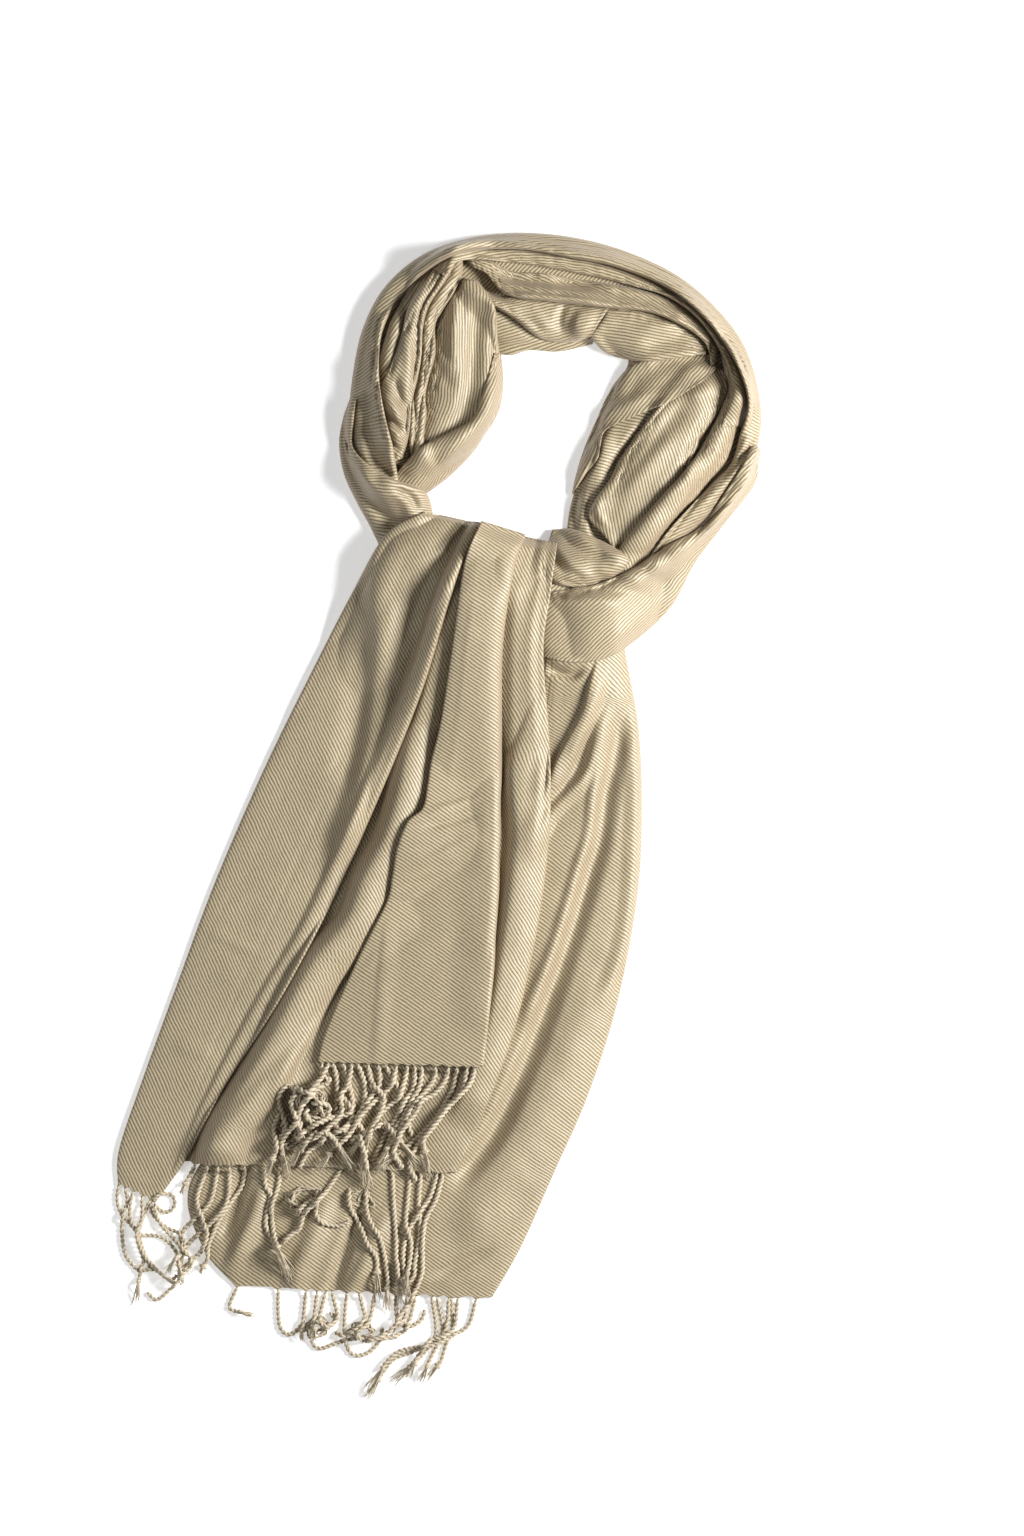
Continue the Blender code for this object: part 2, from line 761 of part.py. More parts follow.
def square_rings(path, centre_z):
    """Four corners round each point of a strand's path."""
    centres = np.column_stack([path, centre_z])
    along = np.gradient(centres, axis=0)
    along /= np.linalg.norm(along, axis=1, keepdims=True)
    side = np.cross(along, [0, 0, 1])
    side /= np.linalg.norm(side, axis=1, keepdims=True)
    up = np.cross(side, along)
    half = strand_widths()[:, None] / 2
    corners = [side * a + up * b for a, b in ((-half, half), (half, half), (half, -half), (-half, -half))]
    return np.stack([centres + corner for corner in corners], axis=1)


def tube_triangles(rings):
    """The triangles of a tube of square rings."""
    ring, corner = np.meshgrid(np.arange(rings - 1), np.arange(4), indexing="ij")
    a = (ring * 4 + corner).reshape(-1)
    b = (ring * 4 + (corner + 1) % 4).reshape(-1)
    return both_splits(a, b, b + 4, a + 4)


def lay_strand(path, root_z, heap, bare):
    """The rings of one strand, clear of the heap. The bare heap lacks the strand's own fringe."""
    triangles = tube_triangles(len(path))
    lowest = GAP + strand_widths() / 2

    def short_with(centre_z):
        points = square_rings(path, centre_z).reshape(-1, 3)
        return np.maximum(heap.short_of(points, triangles, path[0]), bare.short_of(points, triangles))

    height = heap.read(widened(heap.height, 1), path[:, 0], path[:, 1])
    centre_z = height + lowest
    centre_z[0] = root_z
    for _ in range(10):
        short = short_with(centre_z)
        if short.max() < 0.02:
            break
        rise = most_at_corners(short, triangles, len(path) * 4).reshape(-1, 4).max(axis=1)
        rise[0] = 0
        centre_z = centre_z + np.clip(rise, 0, 4)
    for drop in (4.0, 1.0, 0.3):
        for ring in range(1, len(path)):
            for _ in range(4):
                lower = centre_z.copy()
                lower[ring] -= drop
                if lower[ring] < lowest[ring] or short_with(lower).max() >= 0.02:
                    break
                centre_z = lower
    return square_rings(path, centre_z)


def fringe_piece(fringe, hem, heap, material, collection):
    """One body: a narrow strip along the hem, with its strands grown from the strip's outer side."""
    rng = np.random.default_rng(fringe.seed)
    bare = Heap(heap.height.copy())
    shares, ends = [], []
    for tassel in fringe.tassels:
        for share in np.linspace(tassel.hem_from, tassel.hem_to, int(tassel.strands)):
            shares.append(share)
            angle = rng.uniform(0, 2 * math.pi)
            apart = tassel.spread * rng.uniform(0.2, 1.0)
            ends.append((tassel.end_x + apart * math.cos(angle), tassel.end_y + apart * math.sin(angle)))
    left, right = hem[0, :2], hem[-1, :2]
    length = np.linalg.norm(right - left)
    along = (right - left) / length
    way = np.array([along[1], -along[0]])
    half = STRAND_WIDTH / 2 / length
    stops = [0.0] + [share + edge for share in shares for edge in (-half, half)] + [1.0]
    inner = left + np.outer(stops, right - left) + way * STRIP_CLEAR
    outer = inner + way * STRIP_WIDTH
    middle = (inner + outer) / 2
    bed = heap.read(widened(heap.height, round(ROOT_CLEAR / CELL)), middle[:, 0], middle[:, 1])
    low = np.where(bed > 0, bed + GAP, 0.0)
    count = len(stops)
    triangles = grid_triangles(2, count)
    for _ in range(8):
        plate = np.concatenate([np.column_stack([inner, low]), np.column_stack([outer, low])])
        short = heap.short_of(plate, triangles)
        if short.max() < 0.02:
            break
        rise = most_at_corners(short, triangles, 2 * count).reshape(2, count).max(axis=0)
        low = low + np.maximum(rise, 0)
    high = low + STRAND_WIDTH
    bm = bmesh.new()
    faces = []
    for plan in (inner, outer):
        made = bmesh.ops.create_grid(bm, x_segments=count - 1, y_segments=1, size=0.5)
        points = np.concatenate([np.column_stack([plan, low]), np.column_stack([plan, high])])
        for vertex, point in zip(made["verts"], points):
            vertex.co = point * MM
        faces.append(made["verts"])
    rim = rim_of(2, count)
    for a, b in zip(rim, rim[1:] + rim[:1]):
        bm.faces.new((faces[0][a], faces[0][b], faces[1][b], faces[1][a]))
    front = faces[1]
    for index, end in enumerate(ends):
        k = 1 + 2 * index
        corners = [front[count + k + 1], front[count + k], front[k], front[k + 1]]
        root = (outer[k] + outer[k + 1]) / 2
        path = strand_path(root, way, np.array(end), rng)
        rings = lay_strand(path, (low[k] + high[k]) / 2, heap, bare)
        grow_strand(bm, corners, rings)
        heap.add(rings.reshape(-1, 3), tube_triangles(len(rings)))
    heap.add(np.concatenate([np.column_stack([inner, high]), np.column_stack([outer, high])]), triangles)
    return finished(bm, fringe.name, material, collection)


def grow_strand(bm, corners, rings):
    """Extrude a strip's face along the rings of its strand. Its corners are in the rings' order."""
    face = bm.faces.get(corners)
    for ring in rings[1:]:
        face = bmesh.ops.extrude_discrete_faces(bm, faces=[face])["faces"][0]
        corners = [min(face.verts, key=lambda v: (v.co - old.co).length) for old in corners]
        for vertex, point in zip(corners, ring):
            vertex.co = point * MM


# =====================================================================================
# Scene
# =====================================================================================


def make_materials():
    made = {}
    for name, (colour, roughness) in MATERIALS.items():
        material = bpy.data.materials.new(name)
        material.use_nodes = True
        shader = material.node_tree.nodes["Principled BSDF"]
        shader.inputs["Base Color"].default_value = colour
        shader.inputs["Roughness"].default_value = roughness
        shader.inputs["Metallic"].default_value = 0.0
        material.diffuse_color = colour
        made[name] = material
    return made


def clear_scene():
    for old in list(bpy.data.objects):
        bpy.data.objects.remove(old)


def stand_on_origin(pieces):
    """Move the meshes so that the middle of their box's base is the origin."""
    points = [vertex.co for piece in pieces for vertex in piece.data.vertices]
    low = [min(point[axis] for point in points) for axis in range(3)]
    high = [max(point[axis] for point in points) for axis in range(3)]
    shift = Matrix.Translation((-(low[0] + high[0]) / 2, -(low[1] + high[1]) / 2, -low[2]))
    for piece in pieces:
        piece.data.transform(shift)


def main():
    clear_scene()
    collection = bpy.data.collections.new("pashmina_shawl")
    bpy.context.scene.collection.children.link(collection)
    materials = make_materials()
    heap = Heap(np.zeros((int(GRID_Y / CELL), int(GRID_X / CELL))))
    for panel in PANELS:
        top, under = lay_panel(panel, heap)
        cloth = materials["hidden_plies" if panel.filled else "twill"]
        closed_wall(panel.name, top, under, cloth, collection)
        for fringe in FRINGES:
            if fringe.hem_of == panel.name:
                fringe_piece(fringe, top[-1], heap, materials["twisted_fringe"], collection)
    stand_on_origin(collection.objects)


if __name__ == "__main__":
    main()
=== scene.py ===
# %% [markdown]
# # A pashmina shawl, tied in a loop and laid flat
#
# The real thing is one oblong of light twill, about 0.7 by 1.85 m, with a twisted and knotted fringe on its
# two short ends. Here it lies on a table: folded in half, its two ends pulled through the bend, and spread.
#
# Such a heap could be simulated, but cloth tied by hand stays where the hand left it, and a simulation would
# settle somewhere else. So each stretch of cloth that shows is lofted through a few sections, given its own
# folds one by one, and laid on what already lies there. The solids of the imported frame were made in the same
# way and say where everything goes. They stay hidden for collision, and each finer sheet stands for its own.

# %% Load the frame
import math
from collections import namedtuple

import bpy
import numpy as np
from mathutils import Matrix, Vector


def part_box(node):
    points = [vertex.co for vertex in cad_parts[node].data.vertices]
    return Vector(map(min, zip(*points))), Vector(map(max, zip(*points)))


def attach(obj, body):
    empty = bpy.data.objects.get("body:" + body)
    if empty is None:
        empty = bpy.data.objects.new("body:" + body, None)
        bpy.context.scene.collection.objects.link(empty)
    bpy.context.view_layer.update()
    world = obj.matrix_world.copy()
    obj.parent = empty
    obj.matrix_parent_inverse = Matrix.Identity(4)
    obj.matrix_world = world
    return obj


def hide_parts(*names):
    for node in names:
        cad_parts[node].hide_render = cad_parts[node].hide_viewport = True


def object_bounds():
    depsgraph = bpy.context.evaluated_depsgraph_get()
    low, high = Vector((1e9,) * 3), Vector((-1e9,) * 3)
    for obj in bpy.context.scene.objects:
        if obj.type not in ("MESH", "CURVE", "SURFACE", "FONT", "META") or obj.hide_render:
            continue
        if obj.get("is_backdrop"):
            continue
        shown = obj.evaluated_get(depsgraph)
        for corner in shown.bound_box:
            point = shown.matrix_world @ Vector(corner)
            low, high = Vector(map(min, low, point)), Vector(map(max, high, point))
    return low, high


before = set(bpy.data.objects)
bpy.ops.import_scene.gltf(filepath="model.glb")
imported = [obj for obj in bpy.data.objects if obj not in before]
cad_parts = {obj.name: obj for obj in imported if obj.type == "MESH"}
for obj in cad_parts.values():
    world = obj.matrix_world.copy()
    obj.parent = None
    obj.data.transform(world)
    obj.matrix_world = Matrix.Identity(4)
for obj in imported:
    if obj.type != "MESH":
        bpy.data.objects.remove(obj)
cad_low, cad_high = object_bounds()
print("frame:", len(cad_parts), "solids,", [round(v, 4) for v in cad_high - cad_low], "m")

# %% [markdown]
# ## Sizes and tables
#
# Everything below is in millimetres and becomes metres only when a mesh is made. A stretch of cloth is a
# short table. Each row is one section across it: its left and its right edge as points x,y seen from above,
# the height of its crest, and how far across the crest leans, which is half way where the column is left
# out. Nested lists would do as well, but text is easier to read and to change, so a small reader turns it
# into numbers.

# %% Sizes and the table reader
MM = 0.001
CLOTH = 0.7  # thickness of the twill
FOLD_EDGE = 2.4  # height of a folded edge, two plies and the air in the bend
HEM_EDGE = 1.1  # height of a cut or woven edge, one ply
STEP = 2.2  # between the points of a sheet's mesh
FINE = 3  # a sheet is measured this many times closer than it is meshed


def rows_of(text):
    """The numbers in each row below the heading. A point is x,y. A line set in goes on with the row above."""
    rows = text.replace("\n ", " ").replace(",", " ").strip().splitlines()[1:]
    return [[float(word) for word in row.split()] for row in rows]


print("a sheet is meshed every", STEP, "mm and is", CLOTH, "mm thick")

# %% [markdown]
# ## Smooth curves
#
# Cloth has no corners where it isn't pressed, so the rows of a table are only the stations of a smooth curve.
# A Catmull-Rom curve passes through every station, unlike a Bezier, whose handles would need numbers of
# their own.

# %% Curves
def spline(rows, count):
    """count points along a smooth curve through the rows."""
    rows = np.asarray(rows, float)
    ends = np.vstack([2 * rows[0] - rows[1], rows, 2 * rows[-1] - rows[-2]])
    place = np.linspace(0, len(rows) - 1, count)
    k = np.minimum(place.astype(int), len(rows) - 2)
    f = (place - k)[:, None]
    a, b, c, d = (ends[k + i] for i in range(4))
    return 0.5 * (2 * b + (c - a) * f + (2 * a - 5 * b + 4 * c - d) * f**2 + (3 * b - a - 3 * c + d) * f**3)


def smooth_step(value):
    """0 below 0, 1 above 1, and an even S between."""
    value = np.clip(value, 0, 1)
    return value * value * (3 - 2 * value)


def run_length(points):
    """How far along its line each point lies."""
    steps = np.linalg.norm(np.diff(points, axis=0), axis=1)
    return np.concatenate([[0], np.cumsum(steps)])


print("a curve over three rows:", spline([[0, 0], [1, 1], [2, 0]], 5).round(2).tolist())

# %% [markdown]
# ## The heap
#
# Cloth lies on cloth. A grid over the table keeps the height of all that is laid so far, and each new sheet
# asks it for its bed: a soft surface that nowhere cuts into the heap and spans small hollows, as taut cloth
# does. A ray cast for every point would also find the height, but it would copy each bump below exactly,
# and cloth doesn't.

# %% The heap
CELL = 1.0
GRID_X = 640
GRID_Y = 1080
NEXT_CELLS = [(0, 1), (0, -1), (1, 0), (-1, 0), (1, 1), (1, -1), (-1, 1), (-1, -1)]


def widened(height, cells):
    """Each cell takes the highest value within about that many cells of it."""
    wide = height.copy()
    for step in range(cells):
        height = wide.copy()
        for r, c in NEXT_CELLS if step % 2 else NEXT_CELLS[:4]:
            np.maximum(wide, np.roll(height, (r, c), (0, 1)), out=wide)
    return wide


def softened(height, cells):
    """Each cell takes the mean over a square round it."""
    for axis in (0, 1):
        total = sum(np.roll(height, step, axis) for step in range(-cells, cells + 1))
        height = total / (2 * cells + 1)
    return height


def cells_round(x, y, size):
    """The cell that each point lies in, on a grid over the table, and how far into it."""
    row, col = (y + GRID_Y / 2) / size, (x + GRID_X / 2) / size
    r, c = row.astype(int), col.astype(int)
    return r, c, row - r, col - c


def between_cells(grid, r, c, fr, fc):
    """The grid's value a share of the way from each cell to the next ones."""
    low = grid[r, c] * (1 - fc) + grid[r, c + 1] * fc
    high = grid[r + 1, c] * (1 - fc) + grid[r + 1, c + 1] * fc
    return low * (1 - fr) + high * fr


class Heap:
    def __init__(self):
        self.height = np.zeros((int(GRID_Y / CELL), int(GRID_X / CELL)))

    def bed(self, reach):
        """A soft surface that nowhere lies below the heap."""
        cells = round(reach / CELL)
        return softened(softened(widened(self.height, 2 * cells), cells), cells)

    def read(self, grid, x, y):
        return between_cells(grid, *cells_round(x, y, CELL))

    def add(self, x, y, z):
        row, col = np.round((y + GRID_Y / 2) / CELL), np.round((x + GRID_X / 2) / CELL)
        np.maximum.at(self.height, (row.astype(int), col.astype(int)), z)


heap = Heap()
print("heap:", heap.height.shape, "cells of", CELL, "mm")

# %% [markdown]
# ## How a sheet is shaped
#
# Across each section the cloth rises upright from a folded edge, rounds over and falls to the other edge. A
# quarter of a superellipse does that with one number, the fullness: more of it gives a flatter top with
# tighter edges. On top come creases, one row each in a table: a height, the reach of its slope on either
# side, how sharp its ridge is, or how round and full below 0, and the stations of its line, run down the
# sheet. Unequal reaches make a fold that leans over its neighbour. A little uneven swell keeps long
# stretches from looking ironed.

# %% Section, creases and swell
TAPER = 34  # a crease fades out over this length at each end,
SHORT_TAPER = 0.35  # or over this share of a short one
LINE_POINTS = 80  # along a crease
Crease = namedtuple("Crease", "rise left right sharp line")


def crowned(share, fullness):
    """0 at an edge, rising upright from it, to 1 at the crest."""
    return (1 - (1 - np.clip(share, 0, 1)) ** fullness) ** (1 / fullness)


def creases_of(text):
    """Rows of rise, left, right and sharp, then the stations of the line."""
    return [Crease(*row[:4], np.array(row[4:]).reshape(-1, 2)) for row in rows_of(text)]


def crease_height(x, y, crease):
    """The height that one crease adds at each point."""
    line = spline(crease.line, LINE_POINTS)
    along = np.gradient(line, axis=0)
    along /= np.linalg.norm(along, axis=1, keepdims=True)
    reach = max(crease.left, crease.right)
    low, high = line.min(axis=0) - reach, line.max(axis=0) + reach
    near = (x > low[0]) & (x < high[0]) & (y > low[1]) & (y < high[1])
    points = np.stack([x[near], y[near]], axis=1)
    nearest = np.linalg.norm(points[:, None] - line[None], axis=2).argmin(axis=1)
    offset = points - line[nearest]
    side = along[nearest, 0] * offset[:, 1] - along[nearest, 1] * offset[:, 0]
    share = np.clip(np.abs(side) / np.where(side < 0, crease.left, crease.right), 0, 1)
    soft = (1 + np.cos(math.pi * share)) / 2
    other = (1 - share) ** 2 if crease.sharp > 0 else np.sqrt(1 - share**2)
    run = run_length(line)
    here = run[nearest] + (along[nearest] * offset).sum(axis=1)
    taper = smooth_step(np.minimum(here, run[-1] - here) / min(TAPER, SHORT_TAPER * run[-1]))
    added = np.zeros(x.shape)
    added[near] = crease.rise * taper * (soft + (other - soft) * abs(crease.sharp))
    return added


def swell(x, y, size, seed):
    """Soft, uneven swells about size millimetres across, between -1 and 1."""
    rng = np.random.default_rng(seed)
    knots = rng.uniform(-1, 1, (int(GRID_Y / size) + 3, int(GRID_X / size) + 3))
    r, c, fr, fc = cells_round(x, y, size)
    return between_cells(knots, r, c, smooth_step(fr), smooth_step(fc))


print("from an edge to the crest:", crowned(np.array([0, 0.05, 0.2, 0.5, 1]), 2.4).round(2))

# %% [markdown]
# ## Where the weave runs
#
# Twill shows as fine diagonal ribs. Each sheet keeps two coordinates in millimetres of cloth, one along its
# ribs and one across them, in a UV map. They are measured over the folds, so the ribs crowd together
# on a slope as real ones do. A texture in object coordinates would be simpler, but its ribs would cut
# straight through every fold. A sheet that twists as it runs is given the ribs' direction at several
# stations.

# %% Weave coordinates
def weave_coordinates(points, rib_angles):
    """Cloth coordinates along and across the ribs, for a grid of points."""
    middle = points.shape[1] // 2
    over = np.linalg.norm(np.diff(points, axis=1), axis=2)
    s = np.concatenate([np.zeros((len(points), 1)), np.cumsum(over, axis=1)], axis=1)
    s = s - s[:, [middle]]
    row_way = points[:, -1, :2] - points[:, 0, :2]
    row_way /= np.linalg.norm(row_way, axis=1, keepdims=True)
    stations = np.linspace(0, 1, len(rib_angles))
    angle = np.radians(np.interp(np.linspace(0, 1, len(points)), stations, rib_angles))
    spine = np.diff(points[:, middle], axis=0)
    stretch = np.linalg.norm(spine, axis=1) / np.maximum(np.linalg.norm(spine[:, :2], axis=1), 1e-6)
    spine = spine[:, :2] * np.minimum(stretch, 3)[:, None]
    coordinates = []
    for way in (np.stack([np.cos(angle), np.sin(angle)], 1), np.stack([-np.sin(angle), np.cos(angle)], 1)):
        down = np.concatenate([[0], np.cumsum((spine * way[1:]).sum(axis=1))])
        coordinates.append(down[:, None] + s * (row_way * way).sum(axis=1)[:, None])
    return np.stack(coordinates, axis=-1)


# %% [markdown]
# ## How a finish is put together
#
# A finish is a small net of nodes that ends in one Principled shader. Made by hand each node takes three or
# four lines, so this helper adds a node, plugs in values or other nodes' outputs, and hands back its own
# outputs. Values that are the same all over, such as the sheen, are set on the shader itself.

# %% A finish in the making
class Finish:
    def __init__(self, name):
        self.material = bpy.data.materials.new(name)
        self.material.use_nodes = True
        self.tree = self.material.node_tree
        self.shader = self.tree.nodes["Principled BSDF"]

    def plug(self, node, inputs):
        for socket, value in inputs:
            if isinstance(value, bpy.types.NodeSocket):
                self.tree.links.new(value, node.inputs[socket])
            else:
                node.inputs[socket].default_value = value

    def node(self, kind, *inputs, **settings):
        node = self.tree.nodes.new("ShaderNode" + kind)
        for key, value in settings.items():
            setattr(node, key, value)
        self.plug(node, inputs)
        return node.outputs

    def calc(self, operation, *values):
        return self.node("Math", *enumerate(values), operation=operation)[0]

    def wave(self, turn):
        """A cosine wave between 0 and 1."""
        return self.calc("MULTIPLY_ADD", self.calc("COSINE", turn), 0.5, 0.5)

    def noise(self, vector, scale, detail=2.0):
        return self.node("TexNoise", ("Vector", vector), ("Scale", scale), ("Detail", detail))["Fac"]

    def mix(self, share, first, second):
        return self.node("Mix", ("Factor", share), (6, first), (7, second), data_type="RGBA")[2]

    def shade(self, **values):
        """Set or link the shader's inputs, and hand the finish over."""
        self.plug(self.shader, [(key.replace("_", " "), value) for key, value in values.items()])
        return self.material

    def uneven(self, colour, share):
        return self.node("VectorMath", (0, colour), (3, share), operation="SCALE")[0]

    def bump(self, strength, depth, height):
        return self.node("Bump", ("Strength", strength), ("Distance", depth * MM), ("Height", height))[0]


# %% [markdown]
# ## The twill's finish
#
# Pashmina twill has a satin sheen: long floats of fine yarn lie side by side in each rib and catch the light,
# and the grooves between the ribs show the duller, slightly pinker crossing yarn. The texture works in
# the weave coordinates, in millimetres: a cosine gives the ribs, a shorter one the stitches along each rib,
# and two noises keep rows from being ruled with a straight edge. The same value drives colour, roughness
# and bump, so a groove is dark, dull and low at once. Its dark colour is partly that yarn and partly painted
# shade, as in a recess. Steep slopes are painted darker and pinker as well, by how far the surface tilts: that
# is painted shade, which also stands in for the crossing yarn seen at a slant. A picture of woven cloth as a
# texture would repeat and would have one light baked into it.

# %% The twill finish
RIB = 2.55  # from one rib to the next
STITCH = 1.35  # along a rib, from one float to the next


def twill_finish(name, rib_colour, groove_yarn_and_shade_colour, slope_shade_colour):
    twill = Finish(name)
    calc = twill.calc
    weave = twill.node("UVMap", uv_map="weave")[0]
    along, across, _ = twill.node("SeparateXYZ", (0, weave))
    # ribs that wander a little
    slow, quick = twill.noise(weave, 0.06), twill.noise(weave, 0.45)
    wander = calc("MULTIPLY_ADD", slow, 2.2, calc("MULTIPLY", quick, 0.75))
    turn = calc("MULTIPLY", calc("ADD", across, wander), 2 * math.pi / RIB)
    rib = calc("POWER", twill.wave(turn), 0.7)
    # floats along each rib, shifted by half a stitch from rib to rib
    step = calc("MULTIPLY_ADD", along, 2 * math.pi / STITCH, calc("MULTIPLY", turn, 0.5))
    raised = calc("MULTIPLY", rib, calc("MULTIPLY_ADD", twill.wave(step), 0.25, 0.75))
    # colour: groove to rib, the groove partly the crossing yarn and partly painted shade, then painted shade on
    # steep slopes, then uneven dye and yarn
    patchy, yarn = twill.noise(weave, 0.018, 3.0), twill.noise(weave, 0.9, 1.0)
    dye = calc("MULTIPLY_ADD", patchy, 0.22, calc("MULTIPLY_ADD", yarn, 0.26, 0.76))
    cloth = twill.mix(raised, groove_yarn_and_shade_colour, rib_colour)
    # painted shade: the more the surface tilts from upright, the more its colour turns to the darker, pinker
    # slope colour; this also stands in for the crossing yarn seen at a slant
    facing = twill.node("SeparateXYZ", (0, twill.node("NewGeometry")["Normal"]))[2]
    slope_shade_share = twill.node("MapRange", (0, facing), (1, 0.95), (2, 0.45), (3, 0.0), (4, 0.6))[0]
    cloth = twill.mix(slope_shade_share, cloth, slope_shade_colour)
    return twill.shade(
        Base_Color=twill.uneven(cloth, dye), Normal=twill.bump(0.7, 0.3, raised),
        Roughness=calc("MULTIPLY_ADD", raised, -0.12, 0.56), Specular_IOR_Level=0.55,
        Sheen_Weight=0.22, Sheen_Roughness=0.38, Sheen_Tint=(1.0, 0.93, 0.82, 1.0),
    )


twill = twill_finish(
    "beige_twill",
    rib_colour=(0.60, 0.50, 0.325, 1.0),
    # the groove colour is the crossing yarn, darkened by painted shade
    groove_yarn_and_shade_colour=(0.13, 0.10, 0.055, 1.0),
    # the slope colour is painted shade on steep slopes
    slope_shade_colour=(0.33, 0.25, 0.17, 1.0),
)
print("finish:", twill.name, "with", len(twill.node_tree.nodes), "nodes")

# %% [markdown]
# ## From the tables to the frame
#
# The loop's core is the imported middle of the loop. Its table is the same one that its solid was made from, so
# it also tells where the frame's origin is: the table's lowest corner and the solid's lie at the same place,
# and one subtraction gives the shift. A shift typed in by hand would go wrong with the next change of size.

# %% From a table to a plan, and from the plan to the frame
CROWDED = 0.6  # how much closer together the columns of a sheet lie near its edges
LOOP_CORE = """
left right crest
-56,264 -32,248 8
-64,300 -4,280 10
-60,345 40,336 12
-50,390 42,370 12
-17,437 40,390 12
31,455 56,386 11
110,455 104,388 11
182,428 148,374 12
230,382 144,352 12
245,340 136,330 12
244,300 122,294 12
220,252 114,254 12
188,222 110,224 11
"""


def sections_of(text):
    """Rows of left x and y, right x and y, crest and lean."""
    return [(row + [0.5])[:6] for row in rows_of(text)]


def plan_of(sections, down, across):
    """The plan point of every crossing, how far across each column lies, and the crest of each section."""
    rows = spline(sections, down + 1)
    left, right, crest, lean = rows[:, 0:2], rows[:, 2:4], rows[:, [4]], rows[:, [5]]
    even = np.linspace(0, 1, across + 1)
    w = CROWDED * (1 - np.cos(math.pi * even)) / 2 + (1 - CROWDED) * even
    plan = left[:, None] + (right - left)[:, None] * w[None, :, None]
    share = np.where(w < lean, w / lean, (1 - w) / (1 - lean))
    return plan, w, crest, share


core_plan = plan_of(sections_of(LOOP_CORE), 26, 1)[0].reshape(-1, 2)
core_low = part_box("loop_core")[0]
SHIFT = np.array([core_low.x, core_low.y]) - core_plan.min(axis=0) * MM
print("the frame's origin is shifted by", (SHIFT / MM).round(2), "mm")

# %% [markdown]
# ## From points to a mesh
#
# A grid of points becomes a mesh in one call, which is quicker than to build it face by face with bmesh. The
# cloth coordinates go into a UV map, one pair for each corner of a face, because that is where a mesh keeps
# them.

# %% Meshes
def in_frame(points):
    """Points of the tables, in the frame's metres."""
    placed = np.array(points, float) * MM
    placed[..., :2] += SHIFT
    return placed


def grid_faces(rows, cols):
    corner = (np.arange(rows - 1)[:, None] * cols + np.arange(cols - 1)).reshape(-1)
    return np.stack([corner, corner + 1, corner + cols + 1, corner + cols], axis=1)


def mesh_of(name, points, faces, finish, coordinates):
    """A smooth object with its cloth coordinates in the UV map that the finish reads."""
    mesh = bpy.data.meshes.new(name)
    mesh.from_pydata(in_frame(points.reshape(-1, 3)).tolist(), [], faces.tolist())
    mesh.shade_smooth()
    mesh.materials.append(finish)
    corners = np.zeros(len(mesh.loops), np.int32)
    mesh.loops.foreach_get("vertex_index", corners)
    uv = mesh.uv_layers.new(name="weave")
    uv.data.foreach_set("uv", coordinates.reshape(-1, 2)[corners].astype(np.float32).ravel())
    piece = bpy.data.objects.new(name, mesh)
    bpy.context.scene.collection.objects.link(piece)
    return piece


# %% [markdown]
# ## The hidden plies
#
# Inside the loop and the crossing many plies are packed where nobody sees them. Each ply could be a sheet of
# its own, but that would cost many triangles for nothing. So they share one rounded heap, and only its edges
# are stepped like the pages of a book, in case one of them shows through a gap.

# %% Packed plies inside the loop and the crossing
PLY = 3.2  # height of two plies and the air between them
STEPPED = 0.42  # depth of the steps at the edges
PACKED_EDGE = 1.5  # height of the heap at its edges
PACKED_GAP = 0.3  # air below it
LOWEST = 0.1  # nothing lies lower than this above the table


def lay_plies(name, node, text, down, across):
    """A rounded heap of packed plies, stepped like a stack, on a flat underside."""
    plan, _, crest, share = plan_of(sections_of(text), down, across)
    x, y = plan[..., 0], plan[..., 1]
    bed = heap.read(heap.bed(1.5), x, y)
    lowest = np.where(bed > LOWEST, bed + PACKED_GAP, LOWEST)
    rise = 1.0 + (crest - PACKED_EDGE) * crowned(share, 2.0)
    rise = rise + STEPPED * np.sin(2 * math.pi * rise / PLY)
    heap.add(x, y, lowest + rise)
    top = np.stack([x, y, lowest + rise], axis=-1)
    under = np.stack([x, y, lowest], axis=-1)
    rows, cols = x.shape
    rim = np.concatenate([
        np.arange(cols), np.arange(1, rows) * cols + cols - 1,
        (rows - 1) * cols + np.arange(cols - 2, -1, -1), np.arange(rows - 2, 0, -1) * cols,
    ])
    after = np.roll(rim, -1)
    below = rows * cols
    wall = np.stack([rim, after, after + below, rim + below], axis=1)[:, ::-1]
    faces = np.concatenate([grid_faces(rows, cols), grid_faces(rows, cols)[:, ::-1] + below, wall])
    coordinates = weave_coordinates(top, (45, 45))
    piece = mesh_of(name, np.concatenate([top, under]), faces, twill, np.concatenate([coordinates] * 2))
    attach(piece, "root")
    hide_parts(node)
    print(f"{name}: {len(piece.data.polygons)} faces")


lay_plies("packed_plies_of_loop", "loop_core", LOOP_CORE, 200, 40)
lay_plies("packed_plies_of_crossing", "knot_core", """
left right crest
-44,216 -36,196 10
-10,228 0,170 20
40,222 44,154 24
90,214 92,142 24
140,214 134,148 18
172,214 166,180 9
""", 90, 40)

# %% [markdown]
# ## Edges and beds
#
# A folded edge turns down and under on a small radius, while a hem or selvedge just ends. A bevel would
# round such an edge too, but evenly, and cloth tucks itself under. The bed of a sheet is soft in its middle
# and close along its sides. Where the cloth is stretched, the bed may nowhere drop faster than a given
# slope, so the sheet spans the hollows.

# %% Rolled edges, and the bed of a sheet
SIDE_GRIP = 12  # a sheet's sides hug what they lie on within this distance
ROLL = [(3.2, 0.03), (1.4, 0.03), (0.45, 0.22), (0.08, 0.5), (0.0, 0.78)]  # inset mm, share of the height


